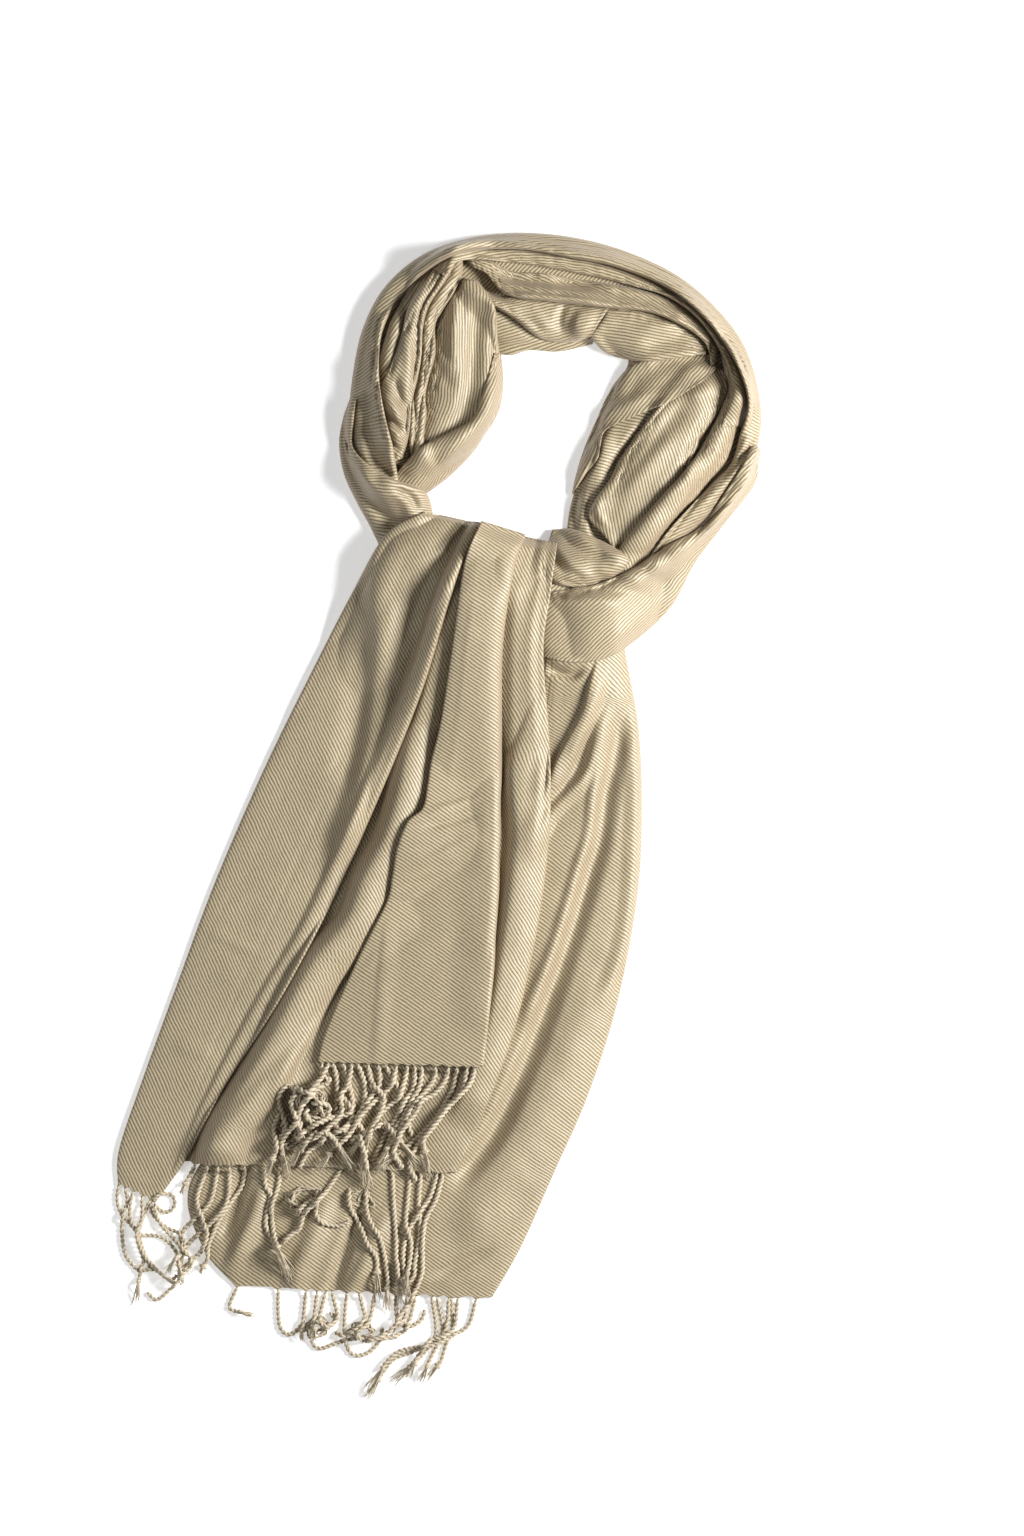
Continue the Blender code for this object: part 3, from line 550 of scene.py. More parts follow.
def rolled_edge(rim, inward, bed):
    """Columns that carry a folded edge down and under, from the tucked side outwards."""
    columns = []
    size = np.sqrt(np.maximum(rim[:, 2] - bed, FOLD_EDGE) / FOLD_EDGE)[:, None]
    for inset, share in ROLL:
        point = rim.copy()
        point[:, :2] += inward * inset * size
        point[:, 2] = bed + LOWEST + (rim[:, 2] - bed - LOWEST) * share
        columns.append(point)
    return columns


def taut(bed, run, fall):
    """The bed along each column, where it nowhere drops faster than fall."""
    bed = bed.copy()
    steps = np.diff(run)
    for r in range(1, len(bed)):
        bed[r] = np.maximum(bed[r], bed[r - 1] - fall * steps[r - 1])
    for r in range(len(bed) - 2, -1, -1):
        bed[r] = np.maximum(bed[r], bed[r + 1] - fall * steps[r])
    return bed


def bed_of_sheet(x, y, reach, fall, side_fall):
    """The surface a sheet rests on, at each of its points."""
    soft = heap.read(heap.bed(reach), x, y)
    close = heap.read(widened(heap.height, 1), x, y)
    across = np.hypot(x - x[:, :1], y - y[:, :1])
    from_side = np.minimum(across, across[:, -1:] - across)
    bed = close + (soft - close) * smooth_step(from_side / SIDE_GRIP)
    middle = x.shape[1] // 2
    bed = taut(bed, run_length(np.stack([x[:, middle], y[:, middle]], axis=1)), fall)
    if side_fall:
        bed = taut(bed.T, across[len(x) // 2], side_fall).T
    return bed


# %% [markdown]
# ## The relief of a sheet
#
# The relief is what a sheet would look like on a bare table: its edges, its crest, its creases and a little
# swell. It could be displaced by an image, but in numbers it stays sharp, and every part can be changed
# alone. At the hem the crest sinks, and an end that lies under another ply may flatten out altogether.

# %% The relief of a sheet
SWELLS = [(34, 0, 1.0), (15, 50, 0.6)]  # size mm, step of the seed, weight
HEM_FALL = 28  # a sheet sinks towards its hem over this length


def relief_of(x, y, t, w, crest, share, length, edges, creases, fullness, hem, swells, melt, seed):
    """How high a sheet stands above its bed."""
    top_left, top_right, hem_left, hem_right = edges
    left_edge = top_left + (hem_left - top_left) * t
    edge = left_edge + (top_right + (hem_right - top_right) * t - left_edge) * w
    settle = 1 - hem * smooth_step(1 - (1 - t) * length / HEM_FALL)
    relief = edge + (crest - edge) * crowned(share, fullness) * settle
    for crease in creases_of(creases):
        relief = relief + crease_height(x, y, crease)
    uneven = sum(weight * swell(x, y, size, seed + more) for size, more, weight in SWELLS)
    relief = relief + swells * crowned(share, 2) * uneven
    for distance, reached in ((t * length, melt[0]), ((1 - t) * length, melt[1])):
        if reached:
            relief = relief * smooth_step((distance + 1) / reached)
    return relief


# %% [markdown]
# ## One way to lay every sheet
#
# All the sheets are made by one function: plan, relief, bed. Only every third point of the measured surface
# becomes mesh. The mesh has no thickness until a Solidify modifier gives it the twill's, downwards, so that
# the top stays where it was laid. The sheet then says how big it was when flat, which is the length of its
# own surface, because cloth bends and hardly stretches.

# %% Laying a sheet
GAP = 0.15  # air between a sheet and its bed
THINNEST = CLOTH + 0.2  # the least that a sheet stands above it
COLUMNS = 14  # a narrow sheet has at least so many
OUTLINE = 60  # points along a sheet, to measure its length
SEED_SHIFT = (137.0, 71.0)  # no two sheets show the same piece of the weave
Laid = namedtuple("Laid", "name piece points width length area held on")
laid = []


def lay_cloth(name, sections, creases="", ribs=(45,), fullness=2.4, reach=1.5, open_sides="", hem=0.0,
              swells=0.3, fall=0.6, side_fall=0, edges=(), melt=(0, 0), held="folded", on=(), step=STEP,
              seed=1, part_of=""):
    """A thin sheet laid on the heap. It stands for the solid of the same name.

    edges are the heights of its left and right edge, at its start and then at its hem, and melt the lengths
    over which its two ends flatten out. Hem is the share by which the crest sinks at the hem, fall the
    steepest slope of the bed along the sheet, and side_fall the one across it.
    """
    sections = sections_of(sections)
    ends = spline(sections, OUTLINE)
    length = run_length((ends[:, 0:2] + ends[:, 2:4]) / 2)[-1]
    widest = np.linalg.norm(ends[:, 2:4] - ends[:, 0:2], axis=1).max()
    down = FINE * math.ceil(length / step)
    across = FINE * max(COLUMNS, math.ceil(widest / step))
    plan, w, crest, share = plan_of(sections, down, across)
    x, y = plan[..., 0], plan[..., 1]
    t = np.linspace(0, 1, down + 1)[:, None]
    sides = [HEM_EDGE if side in open_sides else FOLD_EDGE for side in "lr"]
    relief = relief_of(x, y, t, w, crest, share, length, edges or sides * 2, creases, fullness, hem, swells,
                       melt, seed)
    lowest = np.maximum(bed_of_sheet(x, y, reach, fall, side_fall) + GAP, CLOTH - LOWEST)
    z = lowest + np.maximum(relief, THINNEST)
    heap.add(x, y, z)
    points = np.stack([x, y, z], axis=-1)[::FINE, ::FINE]
    rims = lowest[::FINE]
    inward = points[:, -1, :2] - points[:, 0, :2]
    inward /= np.linalg.norm(inward, axis=1, keepdims=True)
    columns = list(np.moveaxis(points, 1, 0))
    if "l" not in open_sides:
        columns = rolled_edge(points[:, 0], inward, rims[:, 0]) + columns
    if "r" not in open_sides:
        columns = columns + rolled_edge(points[:, -1], -inward, rims[:, -1])[::-1]
    points = np.stack(columns, axis=1)
    coordinates = weave_coordinates(points, ribs) + np.multiply(SEED_SHIFT, seed)
    piece = mesh_of(name + "_cloth", points, grid_faces(*points.shape[:2]), twill, coordinates)
    solid = piece.modifiers.new("cloth_thickness", "SOLIDIFY")
    solid.thickness = CLOTH * MM
    solid.offset = -1
    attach(piece, "root")
    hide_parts(part_of or name)
    flat_length = run_length(points[:, points.shape[1] // 2])[-1]
    over = np.linalg.norm(np.diff(points, axis=1), axis=2).sum(axis=1)
    laid.append(Laid(name, piece, points, over.max(), flat_length, over.mean() * flat_length, held, on))
    print(f"{name}: flat {over.max():.0f} x {flat_length:.0f} mm, {len(piece.data.polygons)} faces")


# %% [markdown]
# ## The back end
#
# The far end of the shawl comes out under the crossing and fans out on the table, so it is laid first. Its
# pleats start narrow at the crossing and open towards the hem. They could be pulled up one by one in sculpt
# mode. As rows of the crease table they stay numbers that can be changed one at a time: a rise above 0 is a
# pleat that stands up, and one below 0 is the valley beside it.

# %% The back end, with its long pleats
lay_cloth("back_tail", """
left right crest lean
86,176 144,172 9 0.6
82,134 148,134 12 0.7
72,82 158,78 15 0.7
48,18 161,18 14 0.7
0,-54 158,-54 12 0.75
-64,-134 142,-142 11 0.75
-138,-214 118,-218 10 0.8
-198,-286 90,-282 9 0.8
-190,-338 64,-340 8 0.75
-162,-372 40,-382 6 0.7
""", """
rise left right sharp stations
6 1.6 12 -0.4 128,136 121,113 115,90 104,68 93,47 87,28 83,8
3 8 8 0 135,128 126,102 117,80 106,54 95,34
4.5 8 9 0.2 136,98 128,76 121,48 112,32 98,18 86,2 72,-30
-3 8 8 0 127,86 116,60 108,38 94,20 80,-4
4.5 9 12 0.2 139,92 131,46 124,24 121,-8 112,-34 104,-62 90,-104 62,-172
-7.6 12 15 0 146,96 136,46 131,20 125,-17 117,-46 109,-73 95,-118 72,-183 42,-250 6,-296
3 12 5 0 154,80 157,33 155,-30 148,-94 126,-156
4 26 30 0 132,-110 96,-198 56,-270 14,-340
-6 5 7 0 82,124 94,119 106,117 118,124
3 3 3 0.2 82,130 98,128 116,129
-2.5 8 8 0 -12,-366 10,-356 48,-338
-8 9 8 0 -150,-262 -160,-294 -166,-314 -176,-340
6 8 14 0 -138,-274 -147,-309 -158,-334 -174,-368
5 12 14 0 -86,-288 -105,-340 -114,-362 -122,-396
-7 8 8 0 -54,-290 -70,-329 -87,-375 -98,-400
4 8 12 0 -38,-300 -61,-353 -74,-379 -84,-400
""", ribs=(-36, -38, -36), swells=0.8, fall=0.2, hem=0.5, held="laid", on=["table_top"], step=2.6, seed=1)

# %% [markdown]
# ## Inside of the loop
#
# The bend of the doubled shawl makes the loop, and its many plies fan out inside it. The ones that lie
# lowest come first. This short strip looks out between the others, so a plain one without folds will do.
# Each sheet could be cut where the next one covers it, but then its ends would have to fit exactly. Here
# they simply run on underneath.

# %% The lowest ply inside the loop
lay_cloth("loop_low_strip", """
left right crest
43,412 44,376 5
62,402 56,373 6
82,390 72,377 6
102,388 96,376 6
124,392 122,382 5
""", ribs=(20, 20), seed=2)

# %% [markdown]
# ## The fan on the right
#
# A broad ply fans out here in deep troughs, and a narrow strip of the next ply shows beside it at the
# opening. One sheet with a step in it could stand for both, but a step made of one surface looks stretched,
# so the strip is a sheet of its own. Over the fan lies a flap. The fan's left side and the flap's right side
# are the shawl's own selvedge: one ply thick and free, so they get no rolled edge.

# %% The strip, the fan and the flap
lay_cloth("loop_right_strip", """
left right crest lean
134,326 186,344 4 0.5
129,310 176,330 5 0.4
119,296 162,312 6 0.4
112,280 150,294 6 0.4
108,264 142,276 6 0.4
104,248 134,258 6 0.4
102,230 128,240 5 0.4
102,214 136,224 4 0.4
104,202 136,206 3 0.5
""", """
rise left right sharp stations
3 2 10 -0.5 140,318 132,309 130,296 125,284 119,274 114,264
-5 9 7 0 172,326 160,310 148,294 138,280 130,266
3 5 5 0 118,268 114,252 112,236
-5 8 8 0 130,250 124,240 126,230 136,222
""", ribs=(-8, -14, -10), swells=0.5, part_of="loop_right_panel", seed=24)
lay_cloth("loop_right_panel", """
left right crest lean
200,360 229,362 5 .5
188,346 229,342 10 .55
172,328 219,323 13 .6
157,308 208,305 14 .6
144,289 202,288 14 .6
136,273 197,268 13 .55
126,259 186,248 11 .5
120,248 172,230 9 .45
121,240 158,212 7 .4
129,234 148,203 5 .4
141,228 145,200 3 .4
""", """
rise left right sharp stations
-3 9 12 0 200,340 186,322 172,306 160,296
3 9 12 0 190,316 176,296 160,276 146,258 140,244
-5 14 8 0 206,284 194,268 180,252 166,236
3 5 5 .2 130,262 126,250 130,240 138,234
4 9 14 .2 222,350 210,344 196,334
""", ribs=(-60, -75, -88), open_sides="l", edges=(3, 6, 5, 2.4), swells=0.6, seed=11)
lay_cloth("loop_right_flap", """
left right crest lean
216,372 221,362 3 .6
200,375 208,350 4 .6
176,372 182,334 5 .6
156,366 166,328 5 .6
142,353 152,322 5 .55
133,338 140,317 4 .5
126,322 131,311 4 .45
118,304 128,300 4 .4
112,287 126,290 4 .4
108,272 119,281 3 .4
106,262 110,270 1.5 .5
""", """
rise left right sharp stations
2 10 8 0 212,366 192,358 170,346 152,334 138,322
-1.5 9 9 0 196,374 176,364 156,352 144,338
2 4 4 0 124,308 118,296 114,282 110,270
""", ribs=(50, 55, 62), open_sides="r", edges=(2.4, 5, 2.4, 3), seed=12)

# %% [markdown]
# ## The gathers
#
# Under the top roll the inner plies are gathered where the loop bends, with short creases that fan out from
# the roll. Shrinking a cloth simulation there would gather them too, but not in these places. Where the
# pinched ply flattens out into the one below, its height melts away over some millimetres, because a fold
# that stopped short would look cut off with scissors.

# %% The gathers under the top roll
lay_cloth("loop_inner_top", """
left right crest lean
130,410 118,389 6 0.5
150,411 134,374 10 0.5
174,406 164,367 11 0.45
198,396 192,370 9 0.45
214,384 212,373 5 0.5
""", """
rise left right sharp stations
3 5 14 0.2 136,410 130,398 122,388
-3 10 14 0 206,392 180,384 156,376
2 6 10 0 200,398 176,396 152,392
""", ribs=(-8, -12), edges=(3, 4, 3, 7), seed=3)
lay_cloth("loop_pinch", """
left right crest
22,434 20,424 7
42,422 40,412 11
62,419 58,402 12
84,418 80,386 10
110,416 104,383 9
136,412 120,387 8
""", """
rise left right sharp stations
-5 7 8 0 30,428 58,414 76,400 84,388
4 6 7 0.2 44,420 70,406 96,386
-4 6 5 0.2 104,416 96,402 100,388
3 5 8 0 116,412 108,398 112,386
""", ribs=(20, 10), melt=(0, 16), seed=4)

# %% [markdown]
# ## The left side of the loop
#
# On the left a wide ply turns its inner edge to the opening, and narrow pleats stand beside it. Narrow pleats
# could be creases of one wide sheet, but each of them overhangs its neighbour a little, and a height over a
# plan can't do that. So each pleat is a narrow sheet with rolled edges. They run on below the ply that wraps
# round them at the crossing, so they are laid before it.

# %% The left panel and the pleats
lay_cloth("loop_left_trough", """
left right crest
-46,400 -32,404 6
-50,370 -24,366 8
-50,338 -22,336 10
-46,308 -22,308 10
-40,286 -26,284 7
""", """
rise left right sharp stations
-5 4 5 0 -42,356 -34,343 -28,331 -26,318
4 4 4 0.2 -48,350 -43,337 -38,325 -31,315
-5 4 4 0 -46,330 -40,317 -33,308
3 4 4 0.2 -46,317 -38,307 -30,300
-4 3 4 0 -44,303 -37,294 -31,288
""", ribs=(50, 20), seed=5)
lay_cloth("loop_inner_left", """
left right crest lean
18,432 30,431 7 0.5
4,410 43,411 10 0.6
-3,386 46,382 12 0.7
-8,358 50,356 13 0.72
-13,330 47,330 13 0.75
-16,306 32,306 10 0.7
-20,288 8,286 5 0.5
""", """
rise left right sharp stations
5 7 8 0.1 22,434 14,424 12,404 11,384 12,364 14,346
-6 8 13 0 32,424 28,398 26,370 23,345 16,325 2,310
2 5 6 0 -4,372 4,366 12,356
-2 5 6 0 -6,362 2,354 12,346
""", ribs=(92, 88, 60), melt=(0, 16), seed=7)
lay_cloth("loop_left_seam", """
left right crest
13,454 18,451 6
5,436 16,432 11
-10,412 2,408 12
-14,396 -4,396 11
-15,374 -4,373 11
-18,357 -9,355 11
-21,341 -12,339 10
-23,326 -11,325 10
-24,308 -13,306 9
-22,288 -10,286 6
""", """
rise left right sharp stations
2.5 4 5 0.3 14,446 6,430 -4,412 -11,390 -12,370 -11,352 -17,339 -20,318 -18,298
-3 3 4 0 2,414 -6,404 -9,392
""", ribs=(45, 50), seed=8)
lay_cloth("loop_left_thin_fold", """
left right crest
-12,443 -3,441 5
-25,424 -15,418 9
-37,402 -27,397 10
-44,382 -34,380 10
-49,362 -40,360 8
-52,344 -46,342 4
""", ribs=(60, 50), melt=(0, 26), seed=9)
lay_cloth("loop_left_pleat", """
left right crest lean
4,455 17,456 7 .5
-9,434 6,434 12 .55
-24,411 -9,411 14 .55
-30,388 -14,392 15 .6
-38,364 -15,370 13 .7
-46,346 -19,350 11 .7
-46,328 -23,332 9 .6
-42,312 -24,316 8 .5
-40,298 -26,304 7 .5
-38,286 -30,290 5 .5
""", """
rise left right sharp stations
3 8 4 .2 8,449 -6,430 -18,408 -23,384 -24,364 -23,344
-5 7 5 0 -36,358 -33,346 -31,336 -28,328
4 4 4 .2 -46,342 -38,332 -32,322 -26,318
-5 4 4 0 -44,330 -36,318 -28,312
4 4 4 .2 -42,318 -34,308 -28,304
-4 4 4 0 -42,304 -34,298 -30,294
""", ribs=(-50, -40), edges=(3.5, 3.5, 2, 2), seed=10)

# %% [markdown]
# ## The neck
#
# Below the opening the inner plies draw together towards the crossing. The neck starts with hardly any
# height and grows out of the plies above it. It could be one mesh with them, but then its ribs couldn't turn
# on their own, so it is a sheet whose upper end melts away.

# %% The neck
lay_cloth("loop_inner_neck", """
left right crest lean
44,374 48.5,374 1 0.5
37,348 50,350 4 0.6
27,322 44,327 9 0.6
8,310 30,301 12 0.5
-10,301 12,281 13 0.5
-25,288 -4,268 12 0.5
-40,272 -24,254 7 0.5
""", """
rise left right sharp stations
2 10 8 0 30,318 16,302 4,290 -14,276
-2 6 6 0 10,300 -4,290 -18,276
""", ribs=(70, 50), edges=(0.4, 1, 5, 2.4), melt=(30, 0), seed=6)

# %% [markdown]
# ## The rolls that close the loop
#
# The outermost plies roll round all the others. Each roll is fuller than the flat plies and is folded
# along its length, and where it turns the corner its inner side gathers in short creases. On the right
# the second roll opens into a broad ridge. A curve with a round bevel would give a roll quickly, but it
# would look like a hose: these have a crest that wanders from side to side.

# %% The ridge and the third roll
lay_cloth("loop_right_ridge", """
left right crest lean
223,380 231,376 5 .4
227,362 240,360 10 .4
231,346 247,344 14 .55
224,328 241,326 16 .6
215,310 235,307 16 .55
205,292 228,288 15 .5
190,273 214,271 15 .45
176,258 203,256 14 .4
158,237 188,238 12 .4
142,217 171,215 9 .4
126,200 156,194 5 .5
""", """
rise left right sharp stations
2 10 8 0.2 236,352 232,332 221,310 208,289 188,266 166,242
-2.5 5 7 0 244,338 236,312 226,292 208,268 190,246
""", ribs=(-65, -65), edges=(2.4, 4, 2.4, 2.4), seed=13)
lay_cloth("loop_third_roll", """
left right crest lean
18,453 26,443 7 0.5
38,449 37,437 10 0.6
58,440 53,420 12 0.7
84,438 84,415 13 0.7
128,431 128,410 13 0.7
164,424 166,406 12 0.65
192,415 193,395 12 0.6
212,401 208,385 10 0.5
221,384 214,376 7 0.5
222,366 216,364 4 0.5
""", """
rise left right sharp stations
4 9 3 0.2 26,447 36,438 42,430 56,422 78,419 110,416 150,411
-9 7 9 0 32,450 44,440 58,434 84,431 110,428 140,424
-2 5 6 0.2 120,424 160,416 196,404
""", ribs=(-20, -35, -40), edges=(3, 6, 3, 4), melt=(6, 12), seed=15)

# %% [markdown]
# ## The two outermost rolls
#
# These two run furthest round the loop, and the outer one is the longest fold of all. It twists as it runs,
# so its ribs are given eight directions along the way. It could be put together from shorter sheets with one
# direction each, but every joint would show as a seam.

# %% The second and the outer roll
lay_cloth("loop_second_roll", """
left right crest lean
-4,440 4,434 5 0.5
10,457 18,447 7 0.5
48,462 52,447 9 0.5
84,457 84,443 9 0.6
130,449 129,434 9 0.6
162,438 159,426 9 0.6
188,426 182,418 9 0.5
210,408 204,402 10 0.5
229,382 222,378 11 0.5
242,358 231,354 11 0.5
247,336 230,334 9 0.5
243,316 224,314 6 0.5
""", """
rise left right sharp stations
2 4 4 0.2 16,452 50,456 84,452 130,443 160,433
-2 4 4 0 160,436 186,423 208,406 226,380
""", ribs=(30, -30, -50), edges=(3, 6, 1, 1), melt=(12, 36), seed=16)
lay_cloth("loop_outer_roll", """
left right crest lean
-42,257 -31,259 4 0.5
-52,267 -32,268 9 0.5
-63,281 -34,280 14.5 0.55
-71,300 -37,299 15.5 0.55
-73,322 -43,322 15.5 0.55
-70,356 -48,354 15.5 0.55
-62,394 -46,388 16.5 0.5
-44,428 -32,418 17.5 0.5
-13,454 -5,442 17.5 0.5
26,467 28,455 17.5 0.5
68,471 67,456 17.5 0.5
110,467 106,449 17.5 0.5
150,456 140,442 17.5 0.5
190,437 180,426 17.5 0.5
222,410 210,401 17.5 0.5
245,378 232,371 17.5 0.5
256,338 245,335 17.5 0.5
256,308 239,308 17.5 0.45
248,284 232,286 16.5 0.5
234,264 217,270 15.5 0.5
216,244 199,251 14.5 0.5
198,224 181,231 10 0.5
178,202 164,206 6 0.5
""", """
rise left right sharp stations
-3 6 7 0 -42,272 -52,290 -58,312 -60,340
2.5 6 7 0.2 -50,276 -62,296 -66,324 -62,356
-3 4 4 0 -38,272 -44,284 -46,298
-1.6 2 5 1 114,464 150,452 186,433 210,412
-2.5 6 5 0 222,398 240,366 248,334 248,306
2.5 5 6 0 214,402 234,372 240,340 241,312
4 1.6 12 -0.5 260,306 252,297 243,287 234,279 226,272
-4 4 4 0 254,308 247,298 239,290 232,284
2 5 7 0.2 246,288 232,274 216,260 198,242
""", ribs=(20, -5, 40, 20, -25, -30, 5, 30), edges=(2.4, 8, 2.4, 4), melt=(16, 0), seed=17)

# %% [markdown]
# ## The wrap
#
# On the left the outer roll is pinched, and a ply wraps round it from below. It lies across the roll, so it
# has its own sections, which run the other way. Creases on the roll alone would miss its free upper edge.

# %% The ply that wraps round the pinched roll
lay_cloth("lower_left_wrap", """
left right crest
-71,338 -67,338 3
-77,322 -69,322 5
-80,302 -70,300 7
-76,278 -58,285 10
-66,256 -36,272 12
-56,238 -12,263 13
-46,218 -5,242 11
-32,198 2,216 5
""", """
rise left right sharp stations
-7 5 6 0 -40,266 -30,262 -24,259 -20,253 -18,244
3 7 6 0.2 -66,284 -54,268 -40,256 -28,242
-3 7 8 0 -62,262 -48,248 -36,236 -26,226
""", ribs=(-5, -5), edges=(2.4, 3, 2, 5), seed=14)

# %% [markdown]
# ## The crossing
#
# Both ends come down through the loop here, and the lower side of the loop goes over them as one broad
# band. Above it a small gathered puff of cloth pushes up. A knot could be modelled with all its plies,
# but only the band and the puff show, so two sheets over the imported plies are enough. The band is rounder
# than the other sheets, which is what its lower fullness does.

# %% The crossing
lay_cloth("cross_tuft", """
left right crest lean
90,234 82,212 7 0.5
106,234 88,192 11 0.4
126,226 110,186 12 0.4
142,217 130,190 10 0.5
152,209 146,200 5 0.5
""", """
rise left right sharp stations
4 5 6 .2 88,228 98,212 112,200 128,194
-4 5 5 0 94,234 106,220 120,212 138,206
3 4 5 .2 106,232 118,222 134,214 148,208
-3 4 4 0 86,214 94,204 104,196
""", ribs=(40, -20), edges=(4, 2.4, 2.4, 2.4), seed=18)
lay_cloth("cross_band", """
left right crest lean
249,300 256,298 3 0.5
243,286 254,286 5 0.5
231,267 251,270 9 0.45
209,236 229,241 11 0.4
182,220 204,208 12 0.35
153,201 184,172 13 0.3
126,189 154,144 12 0.28
102,185 129,130 8 0.28
84,183 102,128 4 0.3
62,184 76,134 2 0.4
""", """
rise left right sharp stations
3 6 22 0.1 206,228 182,214 152,198 126,185 100,180 84,176
-2 12 12 0 196,214 168,186 140,160 116,142
-8 20 40 0 84,190 82,160 80,130 78,92
""", ribs=(45, 42), fullness=1.7, reach=3.0, melt=(16, 0), seed=19)

# %% [markdown]
# ## The front end
#
# The near end of the shawl comes out over the crossing and is spread in three layers: a broad lower ply, a
# narrow panel on the left, and the top ply, which rises like a low arch over the lower one. All three are
# stretched from the crossing to the hem, so they span what lies below. A cloth simulation with pinned
# ends would span it too, but would also smooth the pleats away.

# %% The lower ply of the front end
lay_cloth("front_under_ply", """
left right crest lean
30,236 93,222 5 0.6
4,190 87,178 7 0.6
-14,138 82,135 8 0.6
-38,80 87,62 8 0.6
-68,6 87,-6 8 0.6
-106,-78 77,-86 7 0.6
-146,-146 57,-172 6 0.6
-186,-222 30,-242 5 0.6
-209,-273 13,-281 4 0.5
""", """
rise left right sharp stations
19 13 26 -0.8 20,212 2,150 -11,98 -23,58 -31,18 -41,-14 -58,-46 -71,-79 -98,-112 -116,-143 -130,-170
 -146,-198 -161,-222 -177,-248 -188,-290
-3 6 10 0 52,190 50,114 50,18 46,-62 38,-126 28,-176
8 12 34 -0.3 49,250 51,150 52,98 55,60 62,15 64,-10 62,-34 56,-78 45,-142 32,-190 10,-246
4 14 12 0 -110,-180 -128,-220 -142,-262
""", ribs=(-65, -60, -55), fullness=2.6, reach=4.5, swells=0.5, fall=0.2, hem=0.4, edges=(2.4, 6, 1.2, 2.2),
    melt=(14, 0), held="laid", on=["back_tail_cloth"], seed=20)

# %% [markdown]
# ## The two plies on top
#
# The left panel runs down from the crossing to a hem of its own. The top ply is shorter and lies on the lower
# one. What marks it, a fold or a line where it was pressed, could be painted into its colour, but real marks
# catch the light, so they are creases in its table like all the others.

# %% The left panel and the top ply
lay_cloth("front_left_panel", """
left right crest lean
-11,247 33,238 6 0.6
-42,229 22,214 11 0.65
-72,178 6,170 11 0.7
-108,108 -14,106 9 0.75
-143,36 -43,34 7.5 0.78
-180,-50 -84,-58 6.5 0.78
-209,-128 -127,-140 5.5 0.77
-238,-208 -174,-214 5 0.72
-256,-262 -204,-270 4.5 0.6
-257,-290 -228,-304 4 0.5
""", """
rise left right sharp stations
6 13 26 -0.2 -45,240 -51,192 -47,160 -46,125 -51,86 -59,44 -70,8 -84,-36
2.5 60 16 -0.3 -46,60 -74,-14 -102,-71 -136,-126 -172,-200 -198,-250 -222,-300
-2.5 22 12 0 -66,170 -62,110 -68,60 -80,10
2.5 14 8 0.1 28,226 6,191 -22,140 -38,92 -58,31 -82,-28 -96,-57
2 9 9 0 -66,200 -84,168 -106,120 -130,70
-0.5 1.5 1.5 1 -70,80 -104,-11 -174,-164 -200,-235
1.2 7 7 0 -196,-84 -178,-90 -160,-98 -138,-106
1.4 9 9 0 -216,-178 -196,-182 -176,-186
""", ribs=(-60, -65, -65), fullness=2.6, reach=1.0, swells=0.5, fall=0.2, hem=0.4, edges=(2.4, 2.4, 2, 1.6),
    melt=(14, 0), held="laid", on=["front_under_ply_cloth"], seed=21)
lay_cloth("front_top_ply", """
left right crest lean
34,239 68,229 6 0.5
21,206 59,202 10 0.5
12,146 50,142 11 0.5
2,82 49,70 10 0.55
-6,49 49,38 9.5 0.55
-9,30 48,20 9 0.6
-13,11 48,2 9 0.6
-25,0 48,-8 8 0.6
-33,-20 47,-27 8 0.6
-37,-42 47,-47 7 0.6
-41,-62 46,-66 6.5 0.6
-54,-88 44,-92 6 0.6
-66,-112 43,-116 5 0.6
-90,-166 38,-162 4 0.6
-97,-192 34,-196 4 0.5
""", """
rise left right sharp stations
4 36 4 0 62,226 57,198 47,130 46,50 46,-30 42,-102 36,-180
1.3 5 5 0 -16,6 8,13 36,21
-1.3 5 5 0 -20,-6 8,0 38,8
1.1 6 6 0 -36,-38 -8,-30 16,-18 42,-12
-1 5 6 0 -40,-54 -12,-47 14,-38
1.2 5 14 0 -40,-70 -46,-120 -50,-170 -54,-210
1 8 8 0 -20,160 10,150 40,152
""", ribs=(-35, -35), fullness=2.6, reach=4.0, swells=0.4, fall=0.2, side_fall=0.12, hem=0.6,
    edges=(9, 4, 2.6, 1.8), melt=(16, 0), held="laid", on=["front_under_ply_cloth"], seed=22)

# %% [markdown]
# ## How a fringe cord is made
#
# A pashmina's fringe is its own warp: at the hem the loose yarns are gathered, twisted into two plies, the
# plies twisted round each other the other way, and the end knotted so that it holds. Past the knot the
# yarns fray. A hair system could scatter such cords, but each one here lies where a hand dropped it, so each
# has its own route. The tube's cross-section is two round plies side by side, and it turns as it runs,
# which gives the rope's spiral in shadow as well as in outline.

# %% A path that lies on the heap
CORD_STEP = 0.8  # between the rings of a cord
CHUNK = 10  # rings that are laid at once
CURVE_POINTS = 14  # of the smooth curve, for each station


def evenly_spaced(stations, apart):
    """Points along a smooth curve through the stations, a fixed distance apart."""
    line = spline(stations, CURVE_POINTS * len(stations))
    run = run_length(line)
    at = np.linspace(0, run[-1], max(5, round(run[-1] / apart) + 1))
    return np.stack([np.interp(at, run, line[:, axis]) for axis in (0, 1)], axis=1)


def directions(path):
    way = np.gradient(path, axis=0)
    return way / np.maximum(np.linalg.norm(way, axis=1, keepdims=True), 1e-9)


def over_round(path, radius, shares):
    """Lines along a round thing, each with how far its skin lies above or below the centre."""
    way = directions(path)
    sideways = np.stack([-way[:, 1], way[:, 0]], axis=1)
    for share in shares:
        at = path + sideways * (radius * share)[:, None]
        yield at[:, 0], at[:, 1], radius * math.sqrt(1 - share**2)


